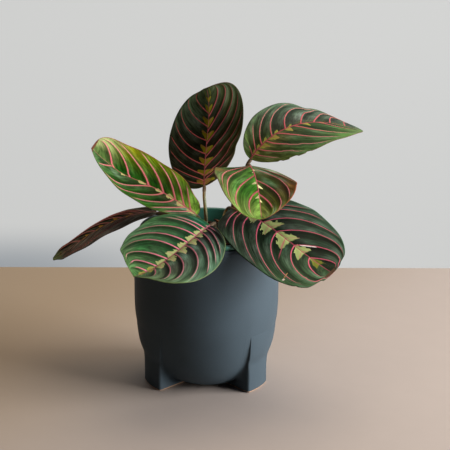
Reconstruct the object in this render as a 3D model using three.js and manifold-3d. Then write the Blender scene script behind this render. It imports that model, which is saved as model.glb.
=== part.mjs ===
// A prayer plant (maranta) in its plastic growing pot, hung in a footed ceramic cover pot.
// Millimetres, +Z up, -Y is the front. The origin is on the standing plane, under the middle of
// the whole plant's spread, so the pot's own axis stands a little to one side of it.

import * as THREE from 'three';
import { mergeVertices } from 'three/addons/utils/BufferGeometryUtils.js';
import Module from 'manifold-3d';

const wasm = await Module();
wasm.setup();

// Driving dimensions

const POT_AXIS = [-2, 13];            // where the pot's axis stands in the frame
const GAP = 0.3;                      // clearance between pieces that touch

const BOWL = {
  height: 153.7,
  widestRadius: 72,
  widestHeight: 94,
  rimRadius: 69.1,
  baseRadius: 38,
  baseHeight: 4.8,
  bellyPower: 3.09,                   // how square the belly turns in below the widest height
  bellyRoot: 1.2,
  shoulderPower: 5,                   // how late the wall turns in above it
  wall: 5,
  floor: 6,
  rimRound: 1.8,
};
const FOOT = {
  count: 3,
  firstAngle: -62.8,                  // degrees from the front, positive to the right
  spread: 33,                         // degrees that one foot takes
  outerRadius: 63.5,
  innerRadius: 30,
  top: 45,
};
const GROW_POT = {
  lipRadius: 66.5,
  lipTop: 157.7,
  lipRound: 1.2,
  mouthRadius: 62.6,                  // outside of the wall just under the lip
  footRadius: 47,
  bottom: 42,
  wall: 1.6,
  drainRadius: 4.5,
  drainCircle: 30,
  drains: 6,
};
const SOIL = { top: 144, crown: 2.5, holeDepth: 24 };
const BLADE = { edge: 0.7, ribDepth: 1.3, ribWidth: 2.4 };
const PETIOLE = { rootRadius: 2.1, forkRadius: 1.7, neckRadius: 1.45, intoBlade: 9, sides: 8, steps: 13 };
const STEM = { rootRadius: 3.4, midRadius: 2.9, topRadius: 4.9, sides: 12, steps: 12 };

// Each leaf is a blade on a midrib. s runs from 0 at its base to 1 at its tip.
//   base      where the blade starts, from the pot's axis and the standing plane
//   heading   degrees round +Z from +X: start, change with s, change with s squared
//   pitch     degrees above level: start, change with s, change with s cubed
//   roll      degrees that the blade is turned about its midrib: start, change with s
//   halfWidth at the widest place; full: how blunt the base and the tip are
//   lopsided  how much wider, and how much sharper at the tip, the right half is
//   fold, curl  degrees that the left and right halves rise at the midrib and bend to the edge
//   root      where the petiole leaves the soil; lean: which way it starts, as [x, y] per mm of rise
const LEAVES = {
  leaf_top: {
    base: [-3, 31, 190.5], heading: [89.5, -5.5, -22], pitch: [22, 60, 40.5], roll: [20.5, -42],
    length: 115, halfWidth: 39.5, full: [0.7, 0.5], lopsided: [-0.07, -0.49],
    fold: [-22.5, -22.5], curl: [15, 14], root: [4, 16], lean: [-0.05, 0.2],
  },
  leaf_left: {
    base: [-9.5, 12, 165.5], heading: [155.5, 26.5, 8], pitch: [32, -20.5, 36.5], roll: [16, 10],
    length: 126, halfWidth: 36, full: [0.52, 0.46], lopsided: [0.05, -0.3],
    fold: [17, 16.5], curl: [-27, -21], root: [-5, 6], lean: [-0.1, 0.1],
  },
  leaf_far_left: {
    base: [-50.5, 36.5, 161.5], heading: [186, 3, 1.5], pitch: [3.5, -74.5, 40.5], roll: [2, -2],
    length: 118, halfWidth: 35, full: [0.51, 0.52], lopsided: [0.02, 0],
    fold: [7, 9], curl: [-10, -38], root: [-14, 25], lean: [-0.5, 0.2],
  },
  leaf_lower_left: {
    base: [3.5, -33, 169.5], heading: [244, -29.5, -1.5], pitch: [-1, -45, 44], roll: [19, -10.5],
    length: 110.5, halfWidth: 50, full: [0.68, 0.56], lopsided: [0.16, -0.13],
    fold: [19, 23.5], curl: [-64, -47], root: [6, -9], lean: [0.05, -0.25],
  },
  leaf_lower_right: {
    base: [26.5, 5, 175], heading: [-53, 8.5, 11], pitch: [5, -56, 32.5], roll: [-8, -10.5],
    length: 136.5, halfWidth: 48.5, full: [0.35, 0.3], lopsided: [0, -0.08],
    fold: [6, 4], curl: [-5, -15], root: [13, 6], lean: [0.15, 0.1],
  },
  leaf_front: {
    base: [42, 6, 219], heading: [-86, 3, -2], pitch: [9, -25, -46.5], roll: [0, 10.5],
    length: 106, halfWidth: 40.5, full: [0.42, 0.55], lopsided: [-0.02, -0.17],
    fold: [-11.5, -11.5], curl: [3, 31], onStem: -1,
  },
  leaf_upper_right: {
    base: [43, 20, 221.5], heading: [25, 6, -7.5], pitch: [54, -114, 41], roll: [-40, 37.5],
    length: 141, halfWidth: 39, full: [0.55, 0.56], lopsided: [-0.05, 0.31],
    fold: [3.5, -2], curl: [-13, -9], onStem: 1,
  },
};
const SHOOT = { root: [19, 14], top: [32.5, 14, 190], socketDepth: 9, socketOffset: 2.3 };

// Lines of constant q run from the midrib to the edge as the side veins do: they leave the midrib
// at s = q and sweep towards the tip by up to VEIN.sweep of what is left of the leaf.
const VEIN = { sweep: 0.62, power: 1.35, crowding: 0.1 };
const ROWS = [0.015, 0.045, 0.09, 0.15, 0.23, 0.33, 0.44, 0.55, 0.66, 0.77, 0.87, 0.95];
const COLUMNS = [-1, -0.8, -0.57, -0.33, -0.07, 0, 0.07, 0.33, 0.57, 0.8, 1];

const TURN = 48;                      // sides of the round pieces
const rad = THREE.MathUtils.degToRad;

// Solids

function solidOf(geometry) {
  const bare = geometry.clone();
  bare.deleteAttribute('normal');
  bare.deleteAttribute('uv');
  const merged = mergeVertices(bare, 1e-4);
  return new wasm.Manifold(new wasm.Mesh({
    numProp: 3,
    vertProperties: new Float32Array(merged.attributes.position.array),
    triVerts: new Uint32Array(merged.index.array),
  }));
}

function geometryOf(solid) {
  const mesh = solid.getMesh();
  const geometry = new THREE.BufferGeometry();
  geometry.setAttribute('position', new THREE.BufferAttribute(mesh.vertProperties, 3));
  geometry.setIndex(new THREE.BufferAttribute(mesh.triVerts, 1));
  geometry.computeVertexNormals();
  return geometry;
}

function lathe(profile, sides = TURN) {
  const points = profile.map(([r, z]) => new THREE.Vector2(r, z));
  return new THREE.LatheGeometry(points, sides).rotateX(Math.PI / 2);
}

function fromRings(rings) {
  // A closed skin over rings of equal size, with a flat fan at each end.
  const sides = rings[0].length;
  const positions = rings.flat().flatMap((p) => [p.x, p.y, p.z]);
  const index = [];
  for (let i = 0; i + 1 < rings.length; i += 1) {
    for (let j = 0; j < sides; j += 1) {
      const a = i * sides + j;
      const b = i * sides + ((j + 1) % sides);
      index.push(a, b, b + sides, a, b + sides, a + sides);
    }
  }
  const last = (rings.length - 1) * sides;
  for (let j = 1; j + 1 < sides; j += 1) {
    index.push(0, j + 1, j, last, last + j, last + j + 1);
  }
  const geometry = new THREE.BufferGeometry();
  geometry.setAttribute('position', new THREE.Float32BufferAttribute(positions, 3));
  geometry.setIndex(index);
  return geometry;
}

function taperedTube(curve, radiusAt, sides, steps) {
  const frames = curve.computeFrenetFrames(steps, false);
  const rings = [];
  for (let i = 0; i <= steps; i += 1) {
    const centre = curve.getPointAt(i / steps);
    const radius = radiusAt(i / steps);
    const ring = [];
    for (let j = 0; j < sides; j += 1) {
      const angle = (j / sides) * 2 * Math.PI;
      ring.push(centre.clone()
        .addScaledVector(frames.normals[i], radius * Math.cos(angle))
        .addScaledVector(frames.binormals[i], radius * Math.sin(angle)));
    }
    rings.push(ring);
  }
  return fromRings(rings);
}

// Cover pot

function bowlRadius(z) {
  const { widestRadius, widestHeight, rimRadius, baseRadius, baseHeight, height } = BOWL;
  if (z >= widestHeight) {
    const up = (z - widestHeight) / (height - widestHeight);
    return widestRadius - (widestRadius - rimRadius) * up ** BOWL.shoulderPower;
  }
  const down = (widestHeight - z) / (widestHeight - baseHeight);
  return baseRadius + (widestRadius - baseRadius)
    * Math.max(0, 1 - down ** BOWL.bellyPower) ** (1 / BOWL.bellyRoot);
}

const BELLY_HEIGHTS = [6, 9, 14, 21, 30, 42, 58, 80, 108, 132, 146];

function bowlOutside() {
  const { height, rimRound, rimRadius, baseHeight, baseRadius } = BOWL;
  const wall = BELLY_HEIGHTS.map((z) => [bowlRadius(z), z]);
  return lathe([
    [0, baseHeight], [baseRadius, baseHeight], ...wall,
    [rimRadius + 0.2, height - rimRound], [rimRadius - 0.5, height - rimRound * 0.3],
    [rimRadius - rimRound, height], [0, height],
  ]);
}

function bowlCavity() {
  const { height, rimRound, rimRadius, wall, baseHeight, floor } = BOWL;
  const bottom = baseHeight + floor;
  const inside = BELLY_HEIGHTS.filter((z) => z > bottom + 1).map((z) => [bowlRadius(z) - wall, z]);
  return lathe([
    [0, bottom], [bowlRadius(bottom) - wall - 6, bottom], ...inside,
    [rimRadius - wall, height - rimRound], [rimRadius - wall + rimRound, height + 0.01],
    [rimRadius - wall + rimRound, height + 5], [0, height + 5],
  ]);
}

function foot(angle) {
  // A wedge of a ring: flat sides on two radii, a round outer face and a flat sole.
  const { spread, innerRadius, outerRadius, top } = FOOT;
  const shape = new THREE.Shape();
  const from = rad(angle - 90 - spread / 2);
  const to = rad(angle - 90 + spread / 2);
  shape.absarc(0, 0, outerRadius, from, to, false);
  shape.absarc(0, 0, innerRadius, to, from, true);
  return new THREE.ExtrudeGeometry(shape, { depth: top, bevelEnabled: false, curveSegments: 8 });
}

function coverPot() {
  let pot = solidOf(bowlOutside());
  for (let i = 0; i < FOOT.count; i += 1) {
    pot = pot.add(solidOf(foot(FOOT.firstAngle + (i * 360) / FOOT.count)));
  }
  return geometryOf(pot.subtract(solidOf(bowlCavity())));
}

// Growing pot and soil

function growWall(z) {
  const { mouthRadius, footRadius, bottom } = GROW_POT;
  return footRadius + ((mouthRadius - footRadius) * (z - bottom)) / (BOWL.height - bottom);
}

function nurseryPot() {
  const { lipRadius, lipTop, lipRound, bottom, wall } = GROW_POT;
  const seat = BOWL.height + GAP;
  const shell = lathe([
    [0, bottom], [growWall(bottom) - 1.5, bottom], [growWall(bottom + 1.5), bottom + 1.5],
    [growWall(seat - 2), seat - 2], [growWall(seat) + 0.4, seat], [lipRadius - 0.4, seat],
    [lipRadius, seat + 0.5], [lipRadius, lipTop - lipRound], [lipRadius - lipRound, lipTop],
    [lipRadius - 2.4 * lipRound, lipTop], [growWall(seat) - wall, lipTop - 2.2],
    [growWall(bottom + 5) - wall, bottom + 5], [growWall(bottom + wall) - wall - 2, bottom + wall],
    [0, bottom + wall],
  ]);
  let pot = solidOf(shell);
  for (let i = 0; i < GROW_POT.drains; i += 1) {
    const angle = rad((i * 360) / GROW_POT.drains);
    const drain = new THREE.CylinderGeometry(GROW_POT.drainRadius, GROW_POT.drainRadius, 12, 16);
    drain.rotateX(Math.PI / 2);
    drain.translate(GROW_POT.drainCircle * Math.cos(angle), GROW_POT.drainCircle * Math.sin(angle), bottom);
    pot = pot.subtract(solidOf(drain));
  }
  return geometryOf(pot);
}

function soil(stems) {
  const { bottom, wall } = GROW_POT;
  const { top, crown } = SOIL;
  const inner = (z) => growWall(z) - wall - GAP;
  const low = bottom + wall + GAP;
  const body = lathe([
    [0, low], [inner(low) - 2.2, low], [inner(bottom + 5.2), bottom + 5.2], [inner(top), top],
    [inner(top) * 0.8, top + crown * 0.3], [inner(top) * 0.45, top + crown * 0.8], [0, top + crown],
  ]);
  return geometryOf(stems.reduce((ground, stem) => ground.subtract(stem), solidOf(body)));
}

// Leaves

function midribOf(leaf) {
  // Points and frames at equal steps of s; each step moves along the mean of its two directions.
  const steps = 48;
  const frames = [];
  const point = new THREE.Vector3(...leaf.base);
  let before = null;
  for (let i = 0; i <= steps; i += 1) {
    const s = i / steps;
    const heading = rad(leaf.heading[0] + leaf.heading[1] * s + leaf.heading[2] * s * s);
    const pitch = rad(leaf.pitch[0] + leaf.pitch[1] * s + leaf.pitch[2] * s ** 3);
    const roll = rad(leaf.roll[0] + leaf.roll[1] * s);
    const along = new THREE.Vector3(
      Math.cos(pitch) * Math.cos(heading), Math.cos(pitch) * Math.sin(heading), Math.sin(pitch));
    const level = new THREE.Vector3(Math.sin(heading), -Math.cos(heading), 0);
    const up = level.clone().cross(along);
    const right = level.clone().multiplyScalar(Math.cos(roll)).addScaledVector(up, Math.sin(roll));
    const face = up.multiplyScalar(Math.cos(roll)).addScaledVector(level, -Math.sin(roll));
    if (before) {
      point.addScaledVector(before.clone().add(along), leaf.length / steps / 2);
    }
    before = along;
    frames.push({ point: point.clone(), along, right, face });
  }
  return (s) => {
    const at = Math.min(Math.max(s, 0), 1) * steps;
    const i = Math.min(Math.floor(at), steps - 1);
    const mix = (name) => frames[i][name].clone().lerp(frames[i + 1][name], at - i);
    return { point: mix('point'), along: mix('along'), right: mix('right'), face: mix('face') };
  };
}

function halfWidthAt(leaf, s, side) {
  // s to the power of the base's fullness times (1 - s) to the tip's, scaled to 1 at its widest.
  const base = leaf.full[0];
  const tip = leaf.full[1] * (1 + side * leaf.lopsided[1]);
  const widest = base / (base + tip);
  const shape = (s / widest) ** base * ((1 - s) / (1 - widest)) ** tip;
  return leaf.halfWidth * (1 + side * leaf.lopsided[0]) * shape;
}

function leafPoint(leaf, midrib, q, v) {
  // The point of the upper face at vein line q and v, from -1 at the left edge to 1 at the right.
  const side = v < 0 ? -1 : 1;
  const half = v < 0 ? 0 : 1;
  const out = Math.abs(v);
  const reach = (1 - q) * (1 - Math.exp(-q / VEIN.crowding));
  const s = q + reach * VEIN.sweep * out ** VEIN.power;
  const frame = midrib(s);
  const across = out * halfWidthAt(leaf, s, side);
  const fold = rad(leaf.fold[half]);
  const curl = rad(leaf.curl[half]) / leaf.halfWidth;
  const turned = fold + curl * across;
  const sideways = (Math.sin(turned) - Math.sin(fold)) / curl;
  const rise = (Math.cos(fold) - Math.cos(turned)) / curl;
  const point = frame.point.clone()
    .addScaledVector(frame.right, side * sideways)
    .addScaledVector(frame.face, rise);
  return { point, across, s };
}

function bladeGeometry(leaf, midrib) {
  // The upper face is a grid of q and v; the lower face is the same grid set back along the normal
  // by the edge's thickness and, near the midrib, by the rib. A strip round the edge joins the two.
  const rows = ROWS.length;
  const columns = COLUMNS.length;
  const at = (q, v) => leafPoint(leaf, midrib, q, v);
  const normalAt = (q, v) => {
    const step = 0.006;
    const alongQ = at(Math.min(q + step, 0.999), v).point.sub(at(Math.max(q - step, 0.001), v).point);
    const acrossV = at(q, Math.min(v + step, 1)).point.sub(at(q, Math.max(v - step, -1)).point);
    return acrossV.cross(alongQ).normalize();
  };
  const upper = [];
  const lower = [];
  for (const q of ROWS) {
    for (const v of COLUMNS) {
      const { point, across, s } = at(q, v);
      const rib = BLADE.ribDepth * (1 - 0.75 * s) * Math.exp(-((across / BLADE.ribWidth) ** 2));
      upper.push(point);
      lower.push(point.clone().addScaledVector(normalAt(q, v), -(BLADE.edge + rib)));
    }
  }
  const ends = [[0, 0.02], [1, 0.98]].map(([q, near]) => {
    const point = at(q, 0).point;
    return [point, point.clone().addScaledVector(normalAt(near, 0), -BLADE.edge)];
  });
  const points = [...upper, ...lower, ends[0][0], ends[0][1], ends[1][0], ends[1][1]];
  const under = rows * columns;
  const [baseUp, baseDown, tipUp, tipDown] = [0, 1, 2, 3].map((i) => 2 * under + i);
  const index = [];
  const both = (a, b, c) => index.push(a, b, c, a + under, c + under, b + under);
  for (let i = 0; i + 1 < rows; i += 1) {
    for (let j = 0; j + 1 < columns; j += 1) {
      const a = i * columns + j;
      const c = a + columns;
      if (COLUMNS[j] < 0) {
        both(a, a + 1, c);
        both(a + 1, c + 1, c);
      } else {
        both(a, a + 1, c + 1);
        both(a, c + 1, c);
      }
    }
  }
  const top = (rows - 1) * columns;
  for (let j = 0; j + 1 < columns; j += 1) {
    index.push(baseUp, j + 1, j, baseDown, under + j, under + j + 1);
    index.push(tipUp, top + j, top + j + 1, tipDown, under + top + j + 1, under + top + j);
  }
  for (let i = 0; i + 1 < rows; i += 1) {
    const left = i * columns;
    const right = left + columns - 1;
    index.push(left, left + columns, left + under, left + columns, left + columns + under, left + under);
    index.push(right, right + under, right + columns, right + columns, right + under, right + columns + under);
  }
  const seam = (a, b, c, d) => index.push(a, b, c, b, d, c);
  seam(baseUp, 0, baseDown, under);
  seam(columns - 1, baseUp, under + columns - 1, baseDown);
  seam(top, tipUp, under + top, tipDown);
  seam(tipUp, top + columns - 1, tipDown, under + top + columns - 1);
  const geometry = new THREE.BufferGeometry();
  geometry.setAttribute('position', new THREE.Float32BufferAttribute(points.flatMap((p) => [p.x, p.y, p.z]), 3));
  geometry.setIndex(index);
  return geometry;
}

function petioleCurve(leaf, midrib, extra = 0) {
  // Up out of the soil or the stem's socket, then into the blade along the underside of its midrib.
  const start = midrib(0);
  const inside = midrib(PETIOLE.intoBlade / leaf.length);
  const sunk = BLADE.edge + PETIOLE.neckRadius * 0.55;
  const end = inside.point.clone().addScaledVector(inside.face, -sunk);
  const neck = start.point.clone().addScaledVector(start.face, -sunk);
  if (leaf.onStem) {
    const foot = socketFoot(leaf.onStem, extra);
    const away = shootDirection().add(new THREE.Vector3(0, leaf.onStem * 0.12, 0))
      .multiplyScalar(neck.distanceTo(foot) * 0.4);
    const back = neck.clone().addScaledVector(start.along, -neck.distanceTo(foot) * 0.14);
    return petiolePath([foot, foot.clone().add(away), back, neck, end]);
  }
  const [x, y] = leaf.root;
  const depth = SOIL.holeDepth + extra;
  const foot = new THREE.Vector3(x - leaf.lean[0] * depth, y - leaf.lean[1] * depth, SOIL.top - depth);
  const rise = neck.z - SOIL.top;
  const reach = Math.hypot(neck.x - x, neck.y - y);
  const ground = new THREE.Vector3(x, y, SOIL.top);
  const up = new THREE.Vector3(leaf.lean[0], leaf.lean[1], 1).normalize();
  const span = Math.hypot(rise, reach);
  const low = ground.clone().addScaledVector(up, span * 0.35);
  const back = neck.clone().addScaledVector(start.along, -span * 0.3);
  return petiolePath([foot, ground, low, back, neck, end]);
}

function petiolePath(points) {
  return new THREE.CatmullRomCurve3(points, false, 'centripetal');
}

function petioleRadius(leaf, extra) {
  const start = leaf.onStem ? PETIOLE.forkRadius : PETIOLE.rootRadius;
  return (u) => start + (PETIOLE.neckRadius - start) * u + extra;
}

function petioleSolid(leaf, midrib, extra = 0) {
  const curve = petioleCurve(leaf, midrib, extra);
  return solidOf(taperedTube(curve, petioleRadius(leaf, extra), PETIOLE.sides, PETIOLE.steps));
}

// The right-hand shoot's stem

function shootCurve(extra = 0) {
  const [x, y] = SHOOT.root;
  return new THREE.CatmullRomCurve3([
    new THREE.Vector3(x - 2, y, SOIL.top - SOIL.holeDepth - extra),
    new THREE.Vector3(x, y, SOIL.top),
    new THREE.Vector3(x + 5, y, SOIL.top + 20),
    new THREE.Vector3(...SHOOT.top),
  ], false, 'centripetal');
}

function shootDirection() {
  return shootCurve().getTangentAt(1);
}

function socketFoot(side, extra) {
  const along = shootDirection();
  return new THREE.Vector3(...SHOOT.top)
    .addScaledVector(along, -SHOOT.socketDepth - extra)
    .add(new THREE.Vector3(0, side * SHOOT.socketOffset, 0));
}

function shootRadius(extra = 0) {
  const { rootRadius, midRadius, topRadius } = STEM;
  return (u) => (u < 0.7 ? rootRadius + (midRadius - rootRadius) * (u / 0.7)
    : midRadius + (topRadius - midRadius) * ((u - 0.7) / 0.2 > 1 ? 1 : (u - 0.7) / 0.2)) + extra;
}

function shootSolid(extra = 0) {
  return solidOf(taperedTube(shootCurve(extra), shootRadius(extra), STEM.sides, STEM.steps));
}

// Materials and assembly

const finish = (color, roughness, metalness = 0) => new THREE.MeshStandardMaterial({ color, roughness, metalness });

const part = new THREE.Group();
part.position.set(POT_AXIS[0], POT_AXIS[1], 0);

function addPiece(name, geometry, material) {
  const mesh = new THREE.Mesh(geometry, material);
  mesh.name = name;
  part.add(mesh);
}

const midribs = Object.fromEntries(Object.entries(LEAVES).map(([name, leaf]) => [name, midribOf(leaf)]));
const leafNames = Object.keys(LEAVES);
const inSoil = leafNames.filter((name) => LEAVES[name].root);
const onShoot = leafNames.filter((name) => LEAVES[name].onStem);

addPiece('cover_pot', coverPot(), finish(0x3d464b, 0.75));
addPiece('nursery_pot', nurseryPot(), finish(0x2f5a50, 0.55));
addPiece('soil', soil([
  ...inSoil.map((name) => petioleSolid(LEAVES[name], midribs[name], GAP)),
  shootSolid(GAP),
]), finish(0x1d1712, 1));
addPiece('shoot_stem', geometryOf(onShoot.reduce(
  (stem, name) => stem.subtract(petioleSolid(LEAVES[name], midribs[name], GAP)), shootSolid(),
)), finish(0x7a5a3c, 0.6));

for (const name of leafNames) {
  const blade = solidOf(bladeGeometry(LEAVES[name], midribs[name]));
  addPiece(name, geometryOf(blade.add(petioleSolid(LEAVES[name], midribs[name]))), finish(0x2f5b34, 0.5));
}

export default part;
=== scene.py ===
"""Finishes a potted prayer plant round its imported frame.

Lengths in the shape functions are millimetres from the pot's own axis and the plane that the pot
stands on. to_frame() turns them into the frame's metres.
"""

import math

import bpy
import numpy as np
from bpy.props import FloatProperty, FloatVectorProperty, IntProperty, PointerProperty
from bpy.types import Operator, Panel, PropertyGroup
from mathutils import Matrix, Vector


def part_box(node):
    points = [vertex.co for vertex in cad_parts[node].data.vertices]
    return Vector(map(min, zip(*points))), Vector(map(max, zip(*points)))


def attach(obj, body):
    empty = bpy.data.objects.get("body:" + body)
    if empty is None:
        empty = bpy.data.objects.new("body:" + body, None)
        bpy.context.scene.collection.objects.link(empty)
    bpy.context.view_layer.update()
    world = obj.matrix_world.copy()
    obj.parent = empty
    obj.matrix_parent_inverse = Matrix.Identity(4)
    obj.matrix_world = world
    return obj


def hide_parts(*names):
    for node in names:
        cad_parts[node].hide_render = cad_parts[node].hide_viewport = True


bl_info = {
    "name": "Potted Prayer Plant",
    "version": (1, 0, 0),
    "blender": (4, 5, 0),
    "location": "3D View > Sidebar > Prayer Plant",
    "description": "Builds a maranta in its growing pot and footed stoneware cover pot",
    "category": "Add Mesh",
}

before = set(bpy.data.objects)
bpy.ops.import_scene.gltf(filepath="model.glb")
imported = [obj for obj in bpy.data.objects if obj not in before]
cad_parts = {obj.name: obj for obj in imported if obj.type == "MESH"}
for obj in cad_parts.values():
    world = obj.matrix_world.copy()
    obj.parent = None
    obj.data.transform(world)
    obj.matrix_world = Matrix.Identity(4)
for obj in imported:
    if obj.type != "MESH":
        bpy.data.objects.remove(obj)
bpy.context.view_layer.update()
POT_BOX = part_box("cover_pot")
POT_AXIS = ((POT_BOX[0] + POT_BOX[1]) / 2).to_2d()


def rgb(red, green, blue):
    """A colour as read off a screen, 0 to 255, in the linear values that Blender mixes."""
    shares = np.array([red, green, blue]) / 255
    linear = np.where(shares <= 0.04045, shares / 12.92, ((shares + 0.055) / 1.055) ** 2.4)
    return tuple(float(share) for share in linear)


# Pot, growing pot and soil, in millimetres and degrees. The bowl draws in by its waist, over
# waist_height from waist_from up. A foot widens by its flare and turns by its twist towards its
# top. It stands out of the bowl by proud, which fades away over the heights of fades, and sinks in
# a little over sinks. Its section meets the bowl from joins up, its hollow fillet grows over
# hollows, and it flares over flares.

BOWL = {
    "height": 153.7, "widest_radius": 72, "widest_height": 94, "rim_radius": 69.1,
    "base_radius": 38, "base_height": 4.8, "belly_power": 2.85, "belly_root": 1.2,
    "shoulder_power": 5, "waist": 1.1, "waist_from": 10, "waist_height": 65,
    "wall": 5, "floor": 6, "rim_round": 1.8,
}
FEET = {
    "count": 3, "first_angle": -62.8, "spread": 33, "inner": 30, "outer": 63.5, "top": 68,
    "flare": 4.7, "twist": 2.3, "proud": 3.4, "fillet": 7, "sunk": 0.4,
    "fades": (34, 68), "sinks": (58, 66), "joins": (4, 8), "hollows": (7, 18), "flares": (18, 60),
}
GROWING_POT = {
    "lip_radius": 66.5, "lip_top": 157.7, "mouth_radius": 62.6, "foot_radius": 47,
    "bottom": 42, "wall": 1.6, "seat": 154.0,
}
POLE_RADIUS = 0.4
SOIL_TOP = 144
SOIL_CROWN = 2.5
SOIL_GAP = 0.3
HOLE_DEPTH = 24

# Leaves. Each blade grows along a midrib on which s runs from 0 at its base to 1 at its tip, and v
# runs from -1 at the left edge to 1 at the right, looking from base to tip at the upper face.
# heading and pitch are degrees round the vertical and above level, roll is the turn about the
# midrib; the later numbers are their change with s. full is how blunt base and tip are. lopsided
# is how much wider, and how much sharper at the tip, the right half is. fold and curl are how far
# each half rises at the midrib and bends out to its edge. dents draw the edge in: which side, where
# on s, how long, and what share of the width. ragged is a torn stretch of edge: side, from, to and
# share. stray is where on s the midrib wanders sideways, over what length and how far in v. quilt
# is the depth of the hollows between the side veins, left and right. A vein is where on s it
# leaves the midrib, its slope and bend towards the tip, and the v at which it fades.

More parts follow.
